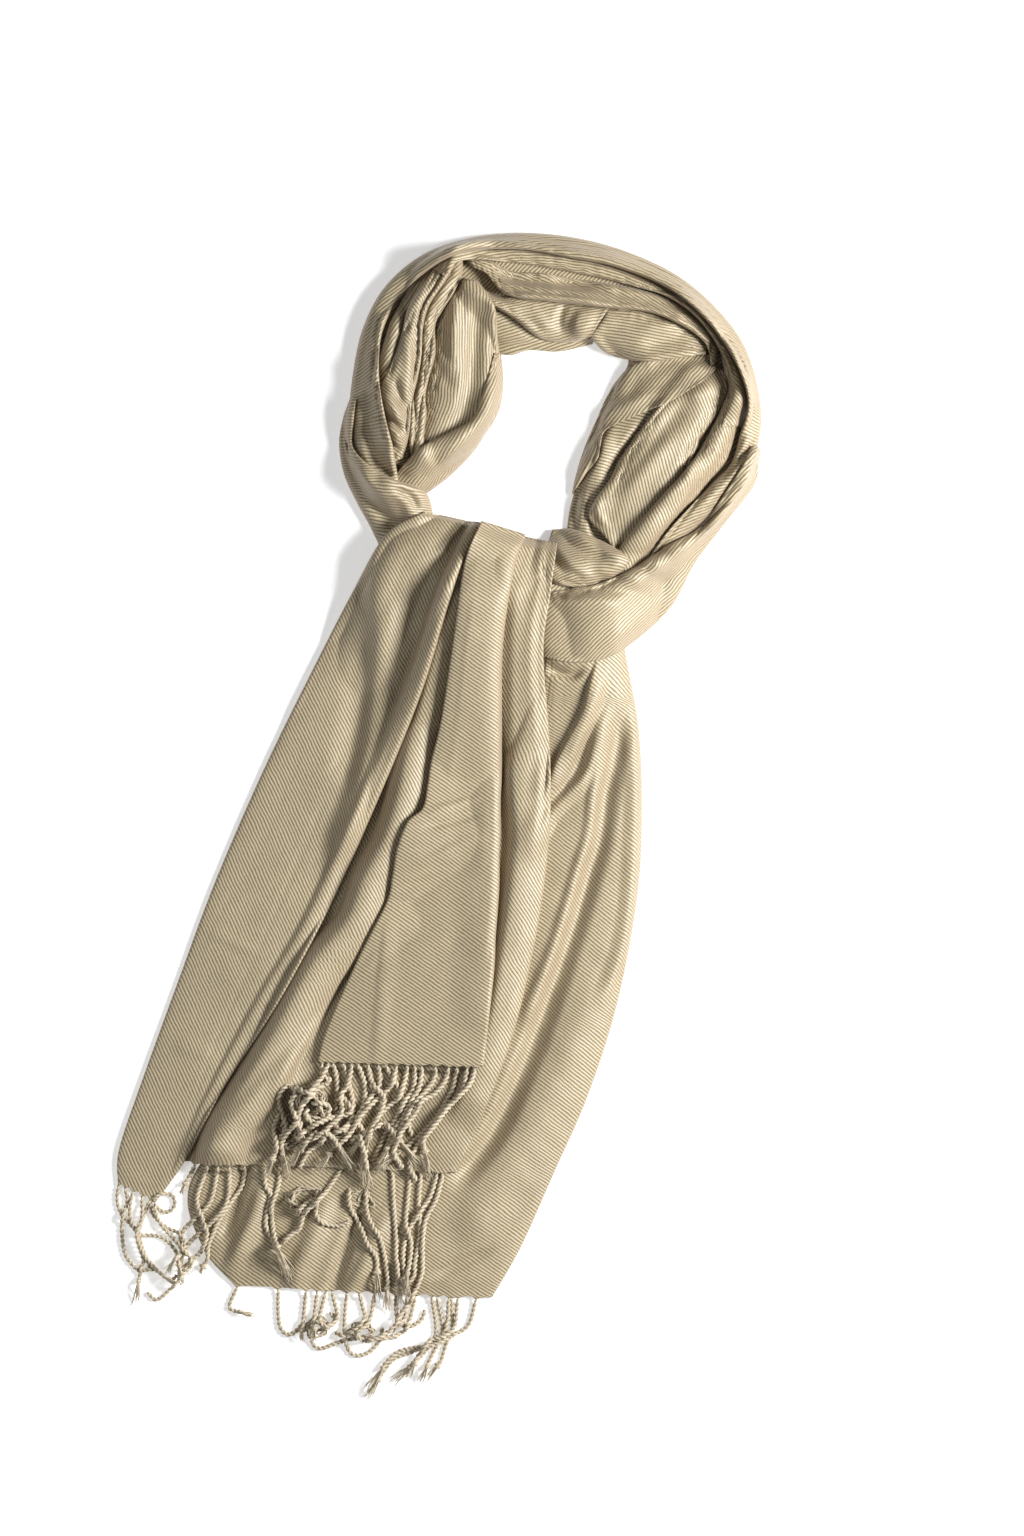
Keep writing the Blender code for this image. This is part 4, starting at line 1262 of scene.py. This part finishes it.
def resting_height(path, radius):
    """Where the centre of a round thing lies that rests on the heap."""
    z = np.zeros(len(path))
    for x, y, skin in over_round(path, radius, (-0.9, -0.5, 0.0, 0.5, 0.9)):
        z = np.maximum(z, heap.read(heap.height, x, y) + skin)
    return z


def add_round(path, z, radius):
    for x, y, skin in over_round(path, radius, (-0.75, 0.0, 0.75)):
        heap.add(x, y, z + skin)


def eased(z, reach):
    """The highest value within reach of each point, then the mean: a cord bends less than its bed."""
    padded = np.pad(z, 2 * reach, mode="edge")
    highest = np.lib.stride_tricks.sliding_window_view(padded, 2 * reach + 1).max(axis=1)
    return np.lib.stride_tricks.sliding_window_view(highest, 2 * reach + 1).mean(axis=1)


def laid_path(path, radius):
    """The path in space. It is laid bit by bit, so that it can cross itself."""
    z = np.zeros(len(path))
    for start in range(0, len(path), CHUNK):
        now = slice(start, start + CHUNK)
        z[now] = resting_height(path, radius)[now]
        if start >= 2 * CHUNK:
            before = slice(start - 2 * CHUNK, start - CHUNK)
            add_round(path[before], z[before], radius[before])
    z = eased(z, 2)
    add_round(path, z, radius)
    return np.column_stack([path, z])


# %% [markdown]
# ## The tube round a path
#
# A curve object can be given a round bevel, but a bevel keeps one section all the way. Here rings of points
# go round the path, and each ring is turned a little against the one before, with a waist where the two
# plies meet.

# %% A tube of two twisted plies
TWIST = 8.0  # one full turn of the two plies
CORD_SIDES = 12
YARN_SIDES = 5
WAIST = 0.6  # of the radius, where the plies meet


def tube_round(path, radius, sides, turn=None):
    """Rings of points round a path. With a turn, the section is two plies that twist round each other."""
    way = directions(path)
    sideways = np.cross((0.0, 0.0, 1.0), way)
    sideways /= np.maximum(np.linalg.norm(sideways, axis=1, keepdims=True), 1e-9)
    upward = np.cross(way, sideways)
    angle = np.linspace(0, 2 * math.pi, sides + 1)
    plies = 0.0 if turn is None else 1.0
    if turn is None:
        turn = np.zeros(len(path))
        profile = np.repeat(radius[:, None], sides + 1, axis=1)
    else:
        profile = radius[:, None] * np.maximum(np.abs(np.cos(angle - turn[:, None])), WAIST)
    across = np.cos(angle)[None, :, None] * sideways[:, None] + np.sin(angle)[None, :, None] * upward[:, None]
    points = path[:, None] + profile[..., None] * across
    share = (angle - turn[:, None]) / (2 * math.pi) * plies
    return points, np.stack(np.broadcast_arrays(run_length(path)[:, None], share), axis=-1)


print("a cord turns once in", TWIST, "mm")

# %% [markdown]
# ## Knot and frayed end
#
# The knot at the end of a cord is hardly longer than it is thick, so a swelling of the tube will do where a
# real knot would need a path of its own. The loose yarns past it are thin tubes, nearly side by side. A few
# planes with a picture of hair would be lighter, but would look flat from the side.

# %% Cord, knot and frayed end
KNOT_LENGTH = 3.4
KNOT_TURNS = 2.5  # half turns that the knot adds
YARNS = 9  # in a frayed end
YARN = 0.42  # radius of a loose yarn
YARN_STEP = 1.8  # between its rings
ROOT_REACH = 14  # a cord that starts this near the hem grows out of it,
ROOT_RISE = 6  # over this length,
ROOT_LENGTH = 5  # and gets thicker over this one
ROOT_SINK = 0.4  # below the top of the hem


def knotted_radius(run, thick, knotted):
    """Thin where it leaves the hem, thick in the knot, closed at both ends."""
    radius = thick * (0.55 + 0.45 * smooth_step(run / ROOT_LENGTH))
    if knotted:
        into_knot = np.abs(run - (run[-1] - KNOT_LENGTH / 2)) / (KNOT_LENGTH / 2)
        radius = radius * (1 + 0.55 * (1 - np.clip(into_knot, 0, 1) ** 3))
    radius[-1] *= 0.4
    return radius


def frayed_end(tip, way, length, rng):
    """Loose yarns past the knot, nearly side by side."""
    tubes = []
    sideways = np.array([-way[1], way[0]])
    for k in range(YARNS):
        lean = (k - (YARNS - 1) / 2) / YARNS
        reach = length * rng.uniform(0.72, 1.0)
        t = np.linspace(0, 1, max(5, round(reach / YARN_STEP)))
        wave = 0.5 * np.sin(2 * math.pi * (rng.uniform(0.8, 1.6) * t + rng.uniform())) * t
        off = lean * (1.6 + length * 0.3 * t**0.8) + wave + rng.normal(0, 0.15)
        path = tip[:2] + np.outer(t * reach, way) + np.outer(off, sideways)
        radius = YARN * rng.uniform(0.75, 1.2) * (1.15 - 0.75 * t**2)
        resting = laid_path(path, radius)
        resting[:2, 2] = np.maximum(resting[:2, 2], tip[2] - 0.4)
        tubes.append(tube_round(resting, radius, YARN_SIDES))
    return tubes


def cord_tubes(route, hem, thick, rng, roots):
    """All the tubes of one cord: itself, its knot and its loose yarns."""
    fray, stations = route[0], np.array(route[1:]).reshape(-1, 2)
    root = hem[np.linalg.norm(hem[:, :2] - stations[0], axis=1).argmin()]
    rooted = np.linalg.norm(root[:2] - stations[0]) < ROOT_REACH
    if rooted:
        stations[0] = root[:2]
        roots.append(root[:2])
    path = evenly_spaced(stations, CORD_STEP)
    run = run_length(path)
    radius = knotted_radius(run, thick, fray > 0)
    resting = laid_path(path, radius)
    if rooted:
        root_z = root[2] - ROOT_SINK
        resting[:, 2] = root_z + (resting[:, 2] - root_z) * smooth_step(run / ROOT_RISE)
    turn = 2 * math.pi * (run / TWIST + rng.uniform())
    if fray:
        turn = turn + KNOT_TURNS * smooth_step((run - run[-1] + KNOT_LENGTH) / KNOT_LENGTH) * math.pi
    tubes = [tube_round(resting, radius, CORD_SIDES, turn)]
    if fray:
        way = path[-1] - path[-4]
        tubes += frayed_end(resting[-2], way / np.linalg.norm(way), fray, rng)
    return tubes, run[-1] + fray


# %% [markdown]
# ## The hem and the tangles
#
# Each cord gathers the hem at its root, so the hem stands back between two cords. Some cords have slipped
# into one another and wind in loops. Their routes needn't be chosen one by one, because nobody can follow
# them, so they are drawn at random round a place, always from the same seed.

# %% A scalloped hem and a tangle
SCALLOP = 2.2  # how far the hem stands back between two cords,
SCALLOP_REACH = 4.5  # which it does this far from a root
SCALLOP_ROWS = [(1, 1.0), (2, 0.4)]  # rows of the mesh from the hem, and how much of it each takes
LOOP_STATIONS = 9


def scallop_hem(sheet, roots):
    hem = sheet.points[-1]
    apart = np.linalg.norm(hem[:, None, :2] - np.array(roots)[None], axis=2).min(axis=1)
    inward = sheet.points[-3] - hem
    inward /= np.linalg.norm(inward, axis=1, keepdims=True)
    pulled = inward * (SCALLOP * smooth_step(apart / SCALLOP_REACH))[:, None] * MM
    for row, share in SCALLOP_ROWS:
        first = (len(sheet.points) - row) * len(hem)
        for column, way in enumerate(pulled):
            vertex = sheet.piece.data.vertices[first + column]
            vertex.co = [a + share * b for a, b in zip(vertex.co, way)]


def tangled(x, y, across, down, count, rng):
    """Routes of loose loops that wind round one place."""
    routes = []
    for _ in range(count):
        turned = np.cumsum(rng.uniform(0.7, 1.7, LOOP_STATIONS)) + rng.uniform(0, 6)
        out = rng.uniform(0.25, 1.0, LOOP_STATIONS)
        stations = np.stack([x + across * out * np.cos(turned), y + down * out * np.sin(turned)], axis=1)
        routes.append([0, *stations.ravel()])
    return routes


# %% [markdown]
# ## The finish of twisted yarn
#
# Loose, twisted yarn is fuzzier and duller than the woven twill. It could wear the twill's finish at another
# scale, but its fibres wind round the ply instead of lying in ribs. So the tube's own coordinates, the way
# along it and the turn round it, drive fine slanting stripes and a dark line of painted shade where the two
# plies meet.

# %% The twisted yarn finish
def twisted_yarn_finish(name, colour, ply_seam_shade_colour):
    yarn = Finish(name)
    calc = yarn.calc
    run, angle, _ = yarn.node("SeparateXYZ", (0, yarn.node("UVMap", uv_map="weave")[0]))
    place = yarn.node("TexCoord")["Object"]
    # two plies side by side: painted shade, dark where they meet
    ply = calc("ABSOLUTE", calc("COSINE", calc("MULTIPLY", angle, 2 * math.pi)))
    winding = calc("MULTIPLY_ADD", run, 7.4, calc("MULTIPLY", angle, 4 * math.pi))
    fibres = yarn.wave(calc("MULTIPLY_ADD", yarn.noise(place, 900.0, 3.0), 3.0, winding))
    lit = calc("MULTIPLY", calc("POWER", ply, 0.6), calc("MULTIPLY_ADD", fibres, 0.4, 0.6))
    patchy = calc("MULTIPLY_ADD", yarn.noise(place, 60.0), 0.5, 0.75)
    return yarn.shade(
        Base_Color=yarn.uneven(yarn.mix(lit, ply_seam_shade_colour, colour), patchy),
        Normal=yarn.bump(0.6, 0.25, fibres), Roughness=0.62, Specular_IOR_Level=0.45,
        Sheen_Weight=0.3, Sheen_Roughness=0.45, Sheen_Tint=(1.0, 0.94, 0.84, 1.0),
    )


# the second colour is painted shade in the groove where the plies meet
twisted_yarn = twisted_yarn_finish("twisted_yarn", (0.72, 0.62, 0.455, 1.0), (0.15, 0.115, 0.072, 1.0))
print("finish:", twisted_yarn.name, "with", len(twisted_yarn.node_tree.nodes), "nodes")

# %% [markdown]
# ## One fringe from a table of routes
#
# Each row of a fringe's table is one cord: the length of its frayed end, or 0 where the end is tucked away,
# then the stations along it, from the hem on. Each cord could be an object, but all the cords of a hem are
# joined in one mesh, since sixty objects would be slow to handle and none is ever moved on its own.

# %% Laying a fringe
LOOP_RADIUS = 0.26  # of a fringe's thickness: in a tangle the cords are pulled thin
CORD_RADIUS = 0.5
CORD_SHIFT = (17.0, 0)  # no two cords show the same piece of the yarn
Cords = namedtuple("Cords", "sheet piece")


def lay_fringe(name, sheet_name, routes, thick, seed, tangles=()):
    """All the cords of one hem, in one piece. It stands for the solid of the same name."""
    rng = np.random.default_rng(seed)
    sheet = next(sheet for sheet in laid if sheet.name == sheet_name)
    points, coordinates, faces, lengths, roots, count = [], [], [], [], [], 0
    loops = [(route, LOOP_RADIUS) for tangle in tangles for route in tangled(*tangle, rng)]
    for route, share in loops + [(row, CORD_RADIUS) for row in rows_of(routes)]:
        tubes, length = cord_tubes(route, sheet.points[-1], thick * share, rng, roots)
        lengths.append(length)
        for ring_points, ring_coordinates in tubes:
            rows, cols = ring_points.shape[:2]
            points.append(ring_points.reshape(-1, 3))
            coordinates.append(ring_coordinates.reshape(-1, 2) + np.multiply(CORD_SHIFT, len(lengths)))
            faces.append(grid_faces(rows, cols) + count)
            count += rows * cols
    scallop_hem(sheet, roots)
    points, faces, coordinates = (np.concatenate(parts) for parts in (points, faces, coordinates))
    piece = mesh_of(name + "_cords", points, faces, twisted_yarn, coordinates)
    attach(piece, "root")
    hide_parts(name)
    print(f"{name}: {len(lengths)} cords, {len(piece.data.polygons)} faces, longest {max(lengths):.0f} mm")


# %% [markdown]
# ## The fringe of the back end
#
# The back end's hem lies on the table. Most of its cords run straight on from it, and some curl back to it.
# Cords could be copied at even distances along the hem, but real ones are bunched, so every route is given
# one by one.

# %% The fringe of the back end
lay_fringe("back_fringe", "back_tail", """
fray stations
12 -166,-380 -168,-388 -158,-392
0 -129,-383 -129,-395 -127,-405 -121,-410 -114,-406 -110,-401
8 -108,-386 -109,-397 -110,-408
0 -98,-387 -101,-402 -103,-410 -101,-418 -95,-421 -86,-418 -78,-415 -66,-412
0 -92,-388 -96,-398 -90,-404 -84,-398 -88,-392
10 -86,-388 -82,-396 -90,-402 -98,-398 -100,-406
0 -75,-387 -76,-398 -76,-410 -74,-420 -69,-426 -61,-426 -54,-422 -48,-414 -46,-404
0 -65,-384 -61,-390 -60,-396 -66,-404 -76,-410 -84,-408
0 -54,-388 -56,-398 -66,-408 -60,-414 -46,-412 -34,-412
0 -36,-388 -34,-398 -28,-403 -20,-402 -14,-397 -12,-390
12 -26,-388 -28,-396 -33,-402
0 -20,-389 -24,-398 -30,-408 -42,-412 -56,-412
22 -8,-390 -3,-404 -6,-416 -16,-428 -26,-437
14 -2,-391 2,-402 0,-414 -6,-426 -11,-437
16 8,-392 10,-405 5,-418 1,-431 -3,-436
20 6,-393 4,-407 -10,-418 -21,-423 -36,-429 -44,-438 -50,-447
24 28,-393 23,-402 11,-410 -4,-417 -19,-420 -32,-423 -42,-431 -47,-438
15 14,-393 12,-402 4,-410 -8,-414 -17,-426 -21,-434
""", thick=4.2, seed=31, tangles=[(-98, -404, 12, 10, 3), (-62, -408, 14, 9, 3)])

# %% [markdown]
# ## The fringe of the lower ply
#
# This hem lies on the back end, and some of its cords are drawn out over it. A cord could keep one height,
# but it would sink into every fold. The heap remembers all that lies there, the first fringe too, so each
# cord rests on what it crosses.

# %% The fringe of the front end's lower ply
lay_fringe("front_under_fringe", "front_under_ply", """
fray stations
9 -196,-286 -204,-291
0 -177,-286 -183,-302 -194,-315 -204,-325 -208,-336 -205,-346
6 -155,-280 -158,-290 -166,-302 -176,-317 -181,-328 -185,-338 -186,-349 -190,-357
14 -168,-286 -170,-303 -181,-318 -192,-328 -200,-336 -205,-346
16 -186,-286 -194,-300 -190,-316 -186,-330 -192,-344 -200,-352
32 -139,-275 -139,-290 -135,-298 -138,-311 -139,-322 -134,-332 -130,-340
30 -131,-268 -128,-281 -130,-294 -134,-306 -134,-317 -132,-330 -129,-340
0 -80,-291 -94,-298 -103,-302 -112,-309 -111,-319 -116,-326 -124,-334
0 -97,-300 -99,-311 -94,-319 -82,-322 -72,-319
0 -88,-292 -98,-302 -108,-312 -112,-324 -120,-330 -126,-336
26 -72,-292 -72,-306 -66,-318 -62,-326 -58,-336 -51,-347 -50,-361
22 -59,-294 -58,-312 -53,-323 -48,-331 -44,-347 -42,-362 -42,-374
18 -37,-290 -37,-302 -36,-318 -35,-333 -35,-346 -34,-357 -33,-370
0 -16,-286 -17,-302 -16,-315 -16,-331 -20,-351 -21,-362 -27,-368 -33,-362 -34,-350
14 -2,-286 -8,-299 -18,-314 -25,-326 -29,-340 -29,-356 -27,-368
0 3,-286 -3,-301 -10,-314 -13,-326 -14,-343 -14,-358 -18,-370 -24,-383 -30,-391 -36,-402 -46,-410 -58,-414
18 -24,-288 -26,-304 -27,-320 -23,-336 -24,-350 -26,-362
""", thick=4.3, seed=32, tangles=[(-108, -300, 16, 12, 3), (-60, -300, 16, 8, 1)])

# %% [markdown]
# ## The fringe of the left panel
#
# The left panel is narrow and has few cords. They are thinner than the others, lie loose on the table and
# curl. A formula could draw a spiral, but no two real cords curl alike, so these are given routes one by one
# too.

# %% The fringe of the front end's left panel
lay_fringe("front_left_fringe", "front_left_panel", """
fray stations
0 -257,-290 -258,-302 -255,-313 -248,-321 -241,-330 -238,-340 -234,-350 -232,-357
20 -251,-290 -250,-303 -254,-318 -254,-334 -251,-347 -244,-356 -240,-360 -241,-369
18 -247,-298 -248,-313 -244,-325 -239,-330 -226,-331 -217,-336 -210,-346 -208,-356
0 -234,-306 -237,-315 -240,-326 -241,-336 -237,-350 -239,-358 -228,-358 -216,-366 -210,-362
14 -231,-306 -231,-311 -225,-319 -217,-325 -208,-329 -204,-338 -212,-350
0 -232,-304 -228,-300 -222,-297 -214,-299 -212,-306 -217,-312 -224,-310 -228,-305
12 -240,-302 -238,-316 -242,-330 -236,-346 -226,-358 -218,-364
0 -224,-300 -226,-316 -216,-330 -206,-340 -198,-352 -206,-362 -214,-372 -226,-382 -234,-376
""", thick=3.7, seed=33)

# %% [markdown]
# ## The fringe of the top ply
#
# This fringe lies on the lower ply and is the most tangled one, so it also has the most loose loops. All its
# cords could be random like those, but the eye soon finds a cord that it can follow. So the loops are laid
# first, and the cords with a route come on top.

# %% The fringe of the front end's top ply
lay_fringe("front_top_fringe", "front_top_ply", """
fray stations
0 -94,-195 -93,-202 -88,-206 -98,-213 -106,-221 -112,-232 -109,-242 -99,-250 -85,-252
0 -89,-195 -96,-206 -104,-214 -115,-211 -123,-211 -128,-219 -126,-230 -122,-243 -128,-254 -133,-272
0 -85,-195 -82,-206 -82,-222 -83,-237 -81,-244 -74,-244 -71,-238 -76,-230
20 -76,-195 -73,-206 -70,-219 -69,-230 -72,-240 -84,-247 -97,-250
18 -120,-210 -114,-214 -118,-222 -115,-232 -112,-243
0 -104,-226 -96,-222 -88,-227 -91,-237 -101,-238 -106,-232 -103,-224
0 -82,-216 -75,-222 -70,-229 -78,-234 -90,-236 -104,-243 -114,-252
24 -112,-236 -120,-246 -126,-256 -125,-266
22 -98,-246 -106,-254 -112,-262
24 -64,-197 -60,-208 -60,-222 -64,-235 -66,-243 -62,-254 -61,-270
0 -48,-197 -48,-208 -54,-218 -62,-229 -66,-238 -61,-246 -59,-259 -61,-272
0 -42,-197 -37,-205 -32,-213 -30,-219 -27,-234 -25,-242 -22,-250
20 -34,-197 -38,-208 -48,-219 -59,-229 -67,-240 -73,-250 -83,-258 -89,-266
20 -26,-197 -29,-210 -34,-221 -42,-227 -51,-237 -59,-249 -66,-257
0 -21,-197 -20,-205 -22,-214 -29,-224 -35,-237 -42,-246 -48,-259 -54,-272
16 -14,-197 -16,-210 -22,-221 -29,-235 -37,-246 -42,-258 -44,-266
22 -3,-196 -5,-205 -13,-216 -22,-227 -30,-242 -37,-254 -42,-262
26 14,-197 11,-211 6,-221 0,-232 -8,-242 -16,-250 -26,-258 -32,-262
0 21,-197 18,-214 6,-226 -2,-237 -10,-248 -21,-262 -24,-274 -19,-286
24 28,-196 24,-208 14,-219 4,-230 -5,-242 -13,-253 -12,-264
0 -70,-196 -73,-208 -79,-219 -78,-232 -88,-242 -94,-254 -106,-264 -112,-276
14 -56,-196 -54,-207 -45,-218 -46,-228 -52,-240 -57,-252
22 -100,-252 -92,-246 -84,-252 -78,-262
26 -52,-244 -44,-240 -36,-248 -30,-256
20 -72,-256 -64,-250 -60,-262 -58,-276
0 8,-196 4,-206 -4,-216 -14,-222 -20,-232 -30,-246 -36,-262 -30,-276
18 -128,-232 -132,-244 -130,-258 -134,-270
""", thick=4.7, seed=34, tangles=[(-104, -225, 15, 15, 9), (-118, -248, 10, 16, 3), (-84, -246, 14, 9, 3)])

# %% [markdown]
# ## Sizes of the sheets
#
# A real sheet of cloth has a size before it is folded, and a simulation or a pattern cutter would ask for it.
# Every sheet keeps the size that was measured over its own folds. Where it widens or narrows,
# the area says so. Here their number and the area that shows are printed. A fringe belongs to the sheet it
# hangs from.

print(len(laid), "sheets,", round(sum(sheet.area for sheet in laid) * MM * MM, 3), "square metres show")

# %% [markdown]
# ## The table
#
# The shawl lies on a plain white table without an edge in sight. An image of an empty studio could surround
# it all, but one large plane is enough. It glows a little by itself, which keeps it white and its shadows
# light.

# %% The table
bpy.ops.mesh.primitive_plane_add(size=8, location=(0, 0, 0))
floor = bpy.context.object
floor.name = "table_top"
white = Finish("white_table").shade(
    Base_Color=(0.93, 0.94, 0.95, 1.0), Roughness=0.8, Specular_IOR_Level=0.1,
    Emission_Color=(1.0, 1.0, 1.0, 1.0), Emission_Strength=0.4,
)
floor.data.materials.append(white)
floor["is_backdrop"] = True
print("table:", list(floor.dimensions), "m")

# %% [markdown]
# ## Light
#
# One soft lamp, rather low on the right, rounds the folds and throws their shadows to the left. A weak one on
# the left and an even white surround keep those shadows from going black. A sun lamp would be simpler,
# but its shadows would have hard edges.

# %% Lamps and surround
def area_light(name, place, size, power):
    data = bpy.data.lights.new(name, "AREA")
    data.size = size
    data.energy = power
    light = bpy.data.objects.new(name, data)
    light.location = place
    light.rotation_euler = (-light.location).to_track_quat("-Z", "Y").to_euler()
    bpy.context.scene.collection.objects.link(light)


area_light("key", place=(1.8, 0.2, 1.4), size=0.7, power=97)
area_light("fill", place=(-1.5, -0.5, 1.4), size=1.0, power=9)
world = bpy.data.worlds.new("studio")
world.use_nodes = True
surround = world.node_tree.nodes["Background"].inputs
surround["Color"].default_value = (1.0, 1.0, 1.0, 1.0)
surround["Strength"].default_value = 0.14
bpy.context.scene.world = world
bpy.context.scene.view_settings.view_transform = "Standard"
print("lamps:", len(bpy.data.lights))

# %% [markdown]
# ## Camera
#
# The camera looks straight down from far away with a long lens, so that the shawl's plan is hardly distorted.
# An orthographic camera would not distort it at all, but with a real lens what stands higher looks a little
# larger.

# %% Camera
LENS = 135
SENSOR = 36
EYE = (0.0576, 0.0432, 4.608)
camera_data = bpy.data.cameras.new("camera")
camera_data.lens = LENS
camera_data.sensor_width = SENSOR
camera = bpy.data.objects.new("camera", camera_data)
camera.location = (EYE[0] + SHIFT[0], EYE[1] + SHIFT[1], EYE[2])
bpy.context.scene.collection.objects.link(camera)
bpy.context.scene.camera = camera
print("camera at", [round(v, 3) for v in camera.location], "m")

# %% [markdown]
# ## Sizes and finish
#
# The box round everything that was made is printed beside the box of the solids. Both are measured, not
# typed in.

# %% Sizes and finish
low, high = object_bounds()
for title, size in (("box:", high - low), ("solids:", cad_high - cad_low)):
    print(title, [round(v / MM, 1) for v in size], "mm")
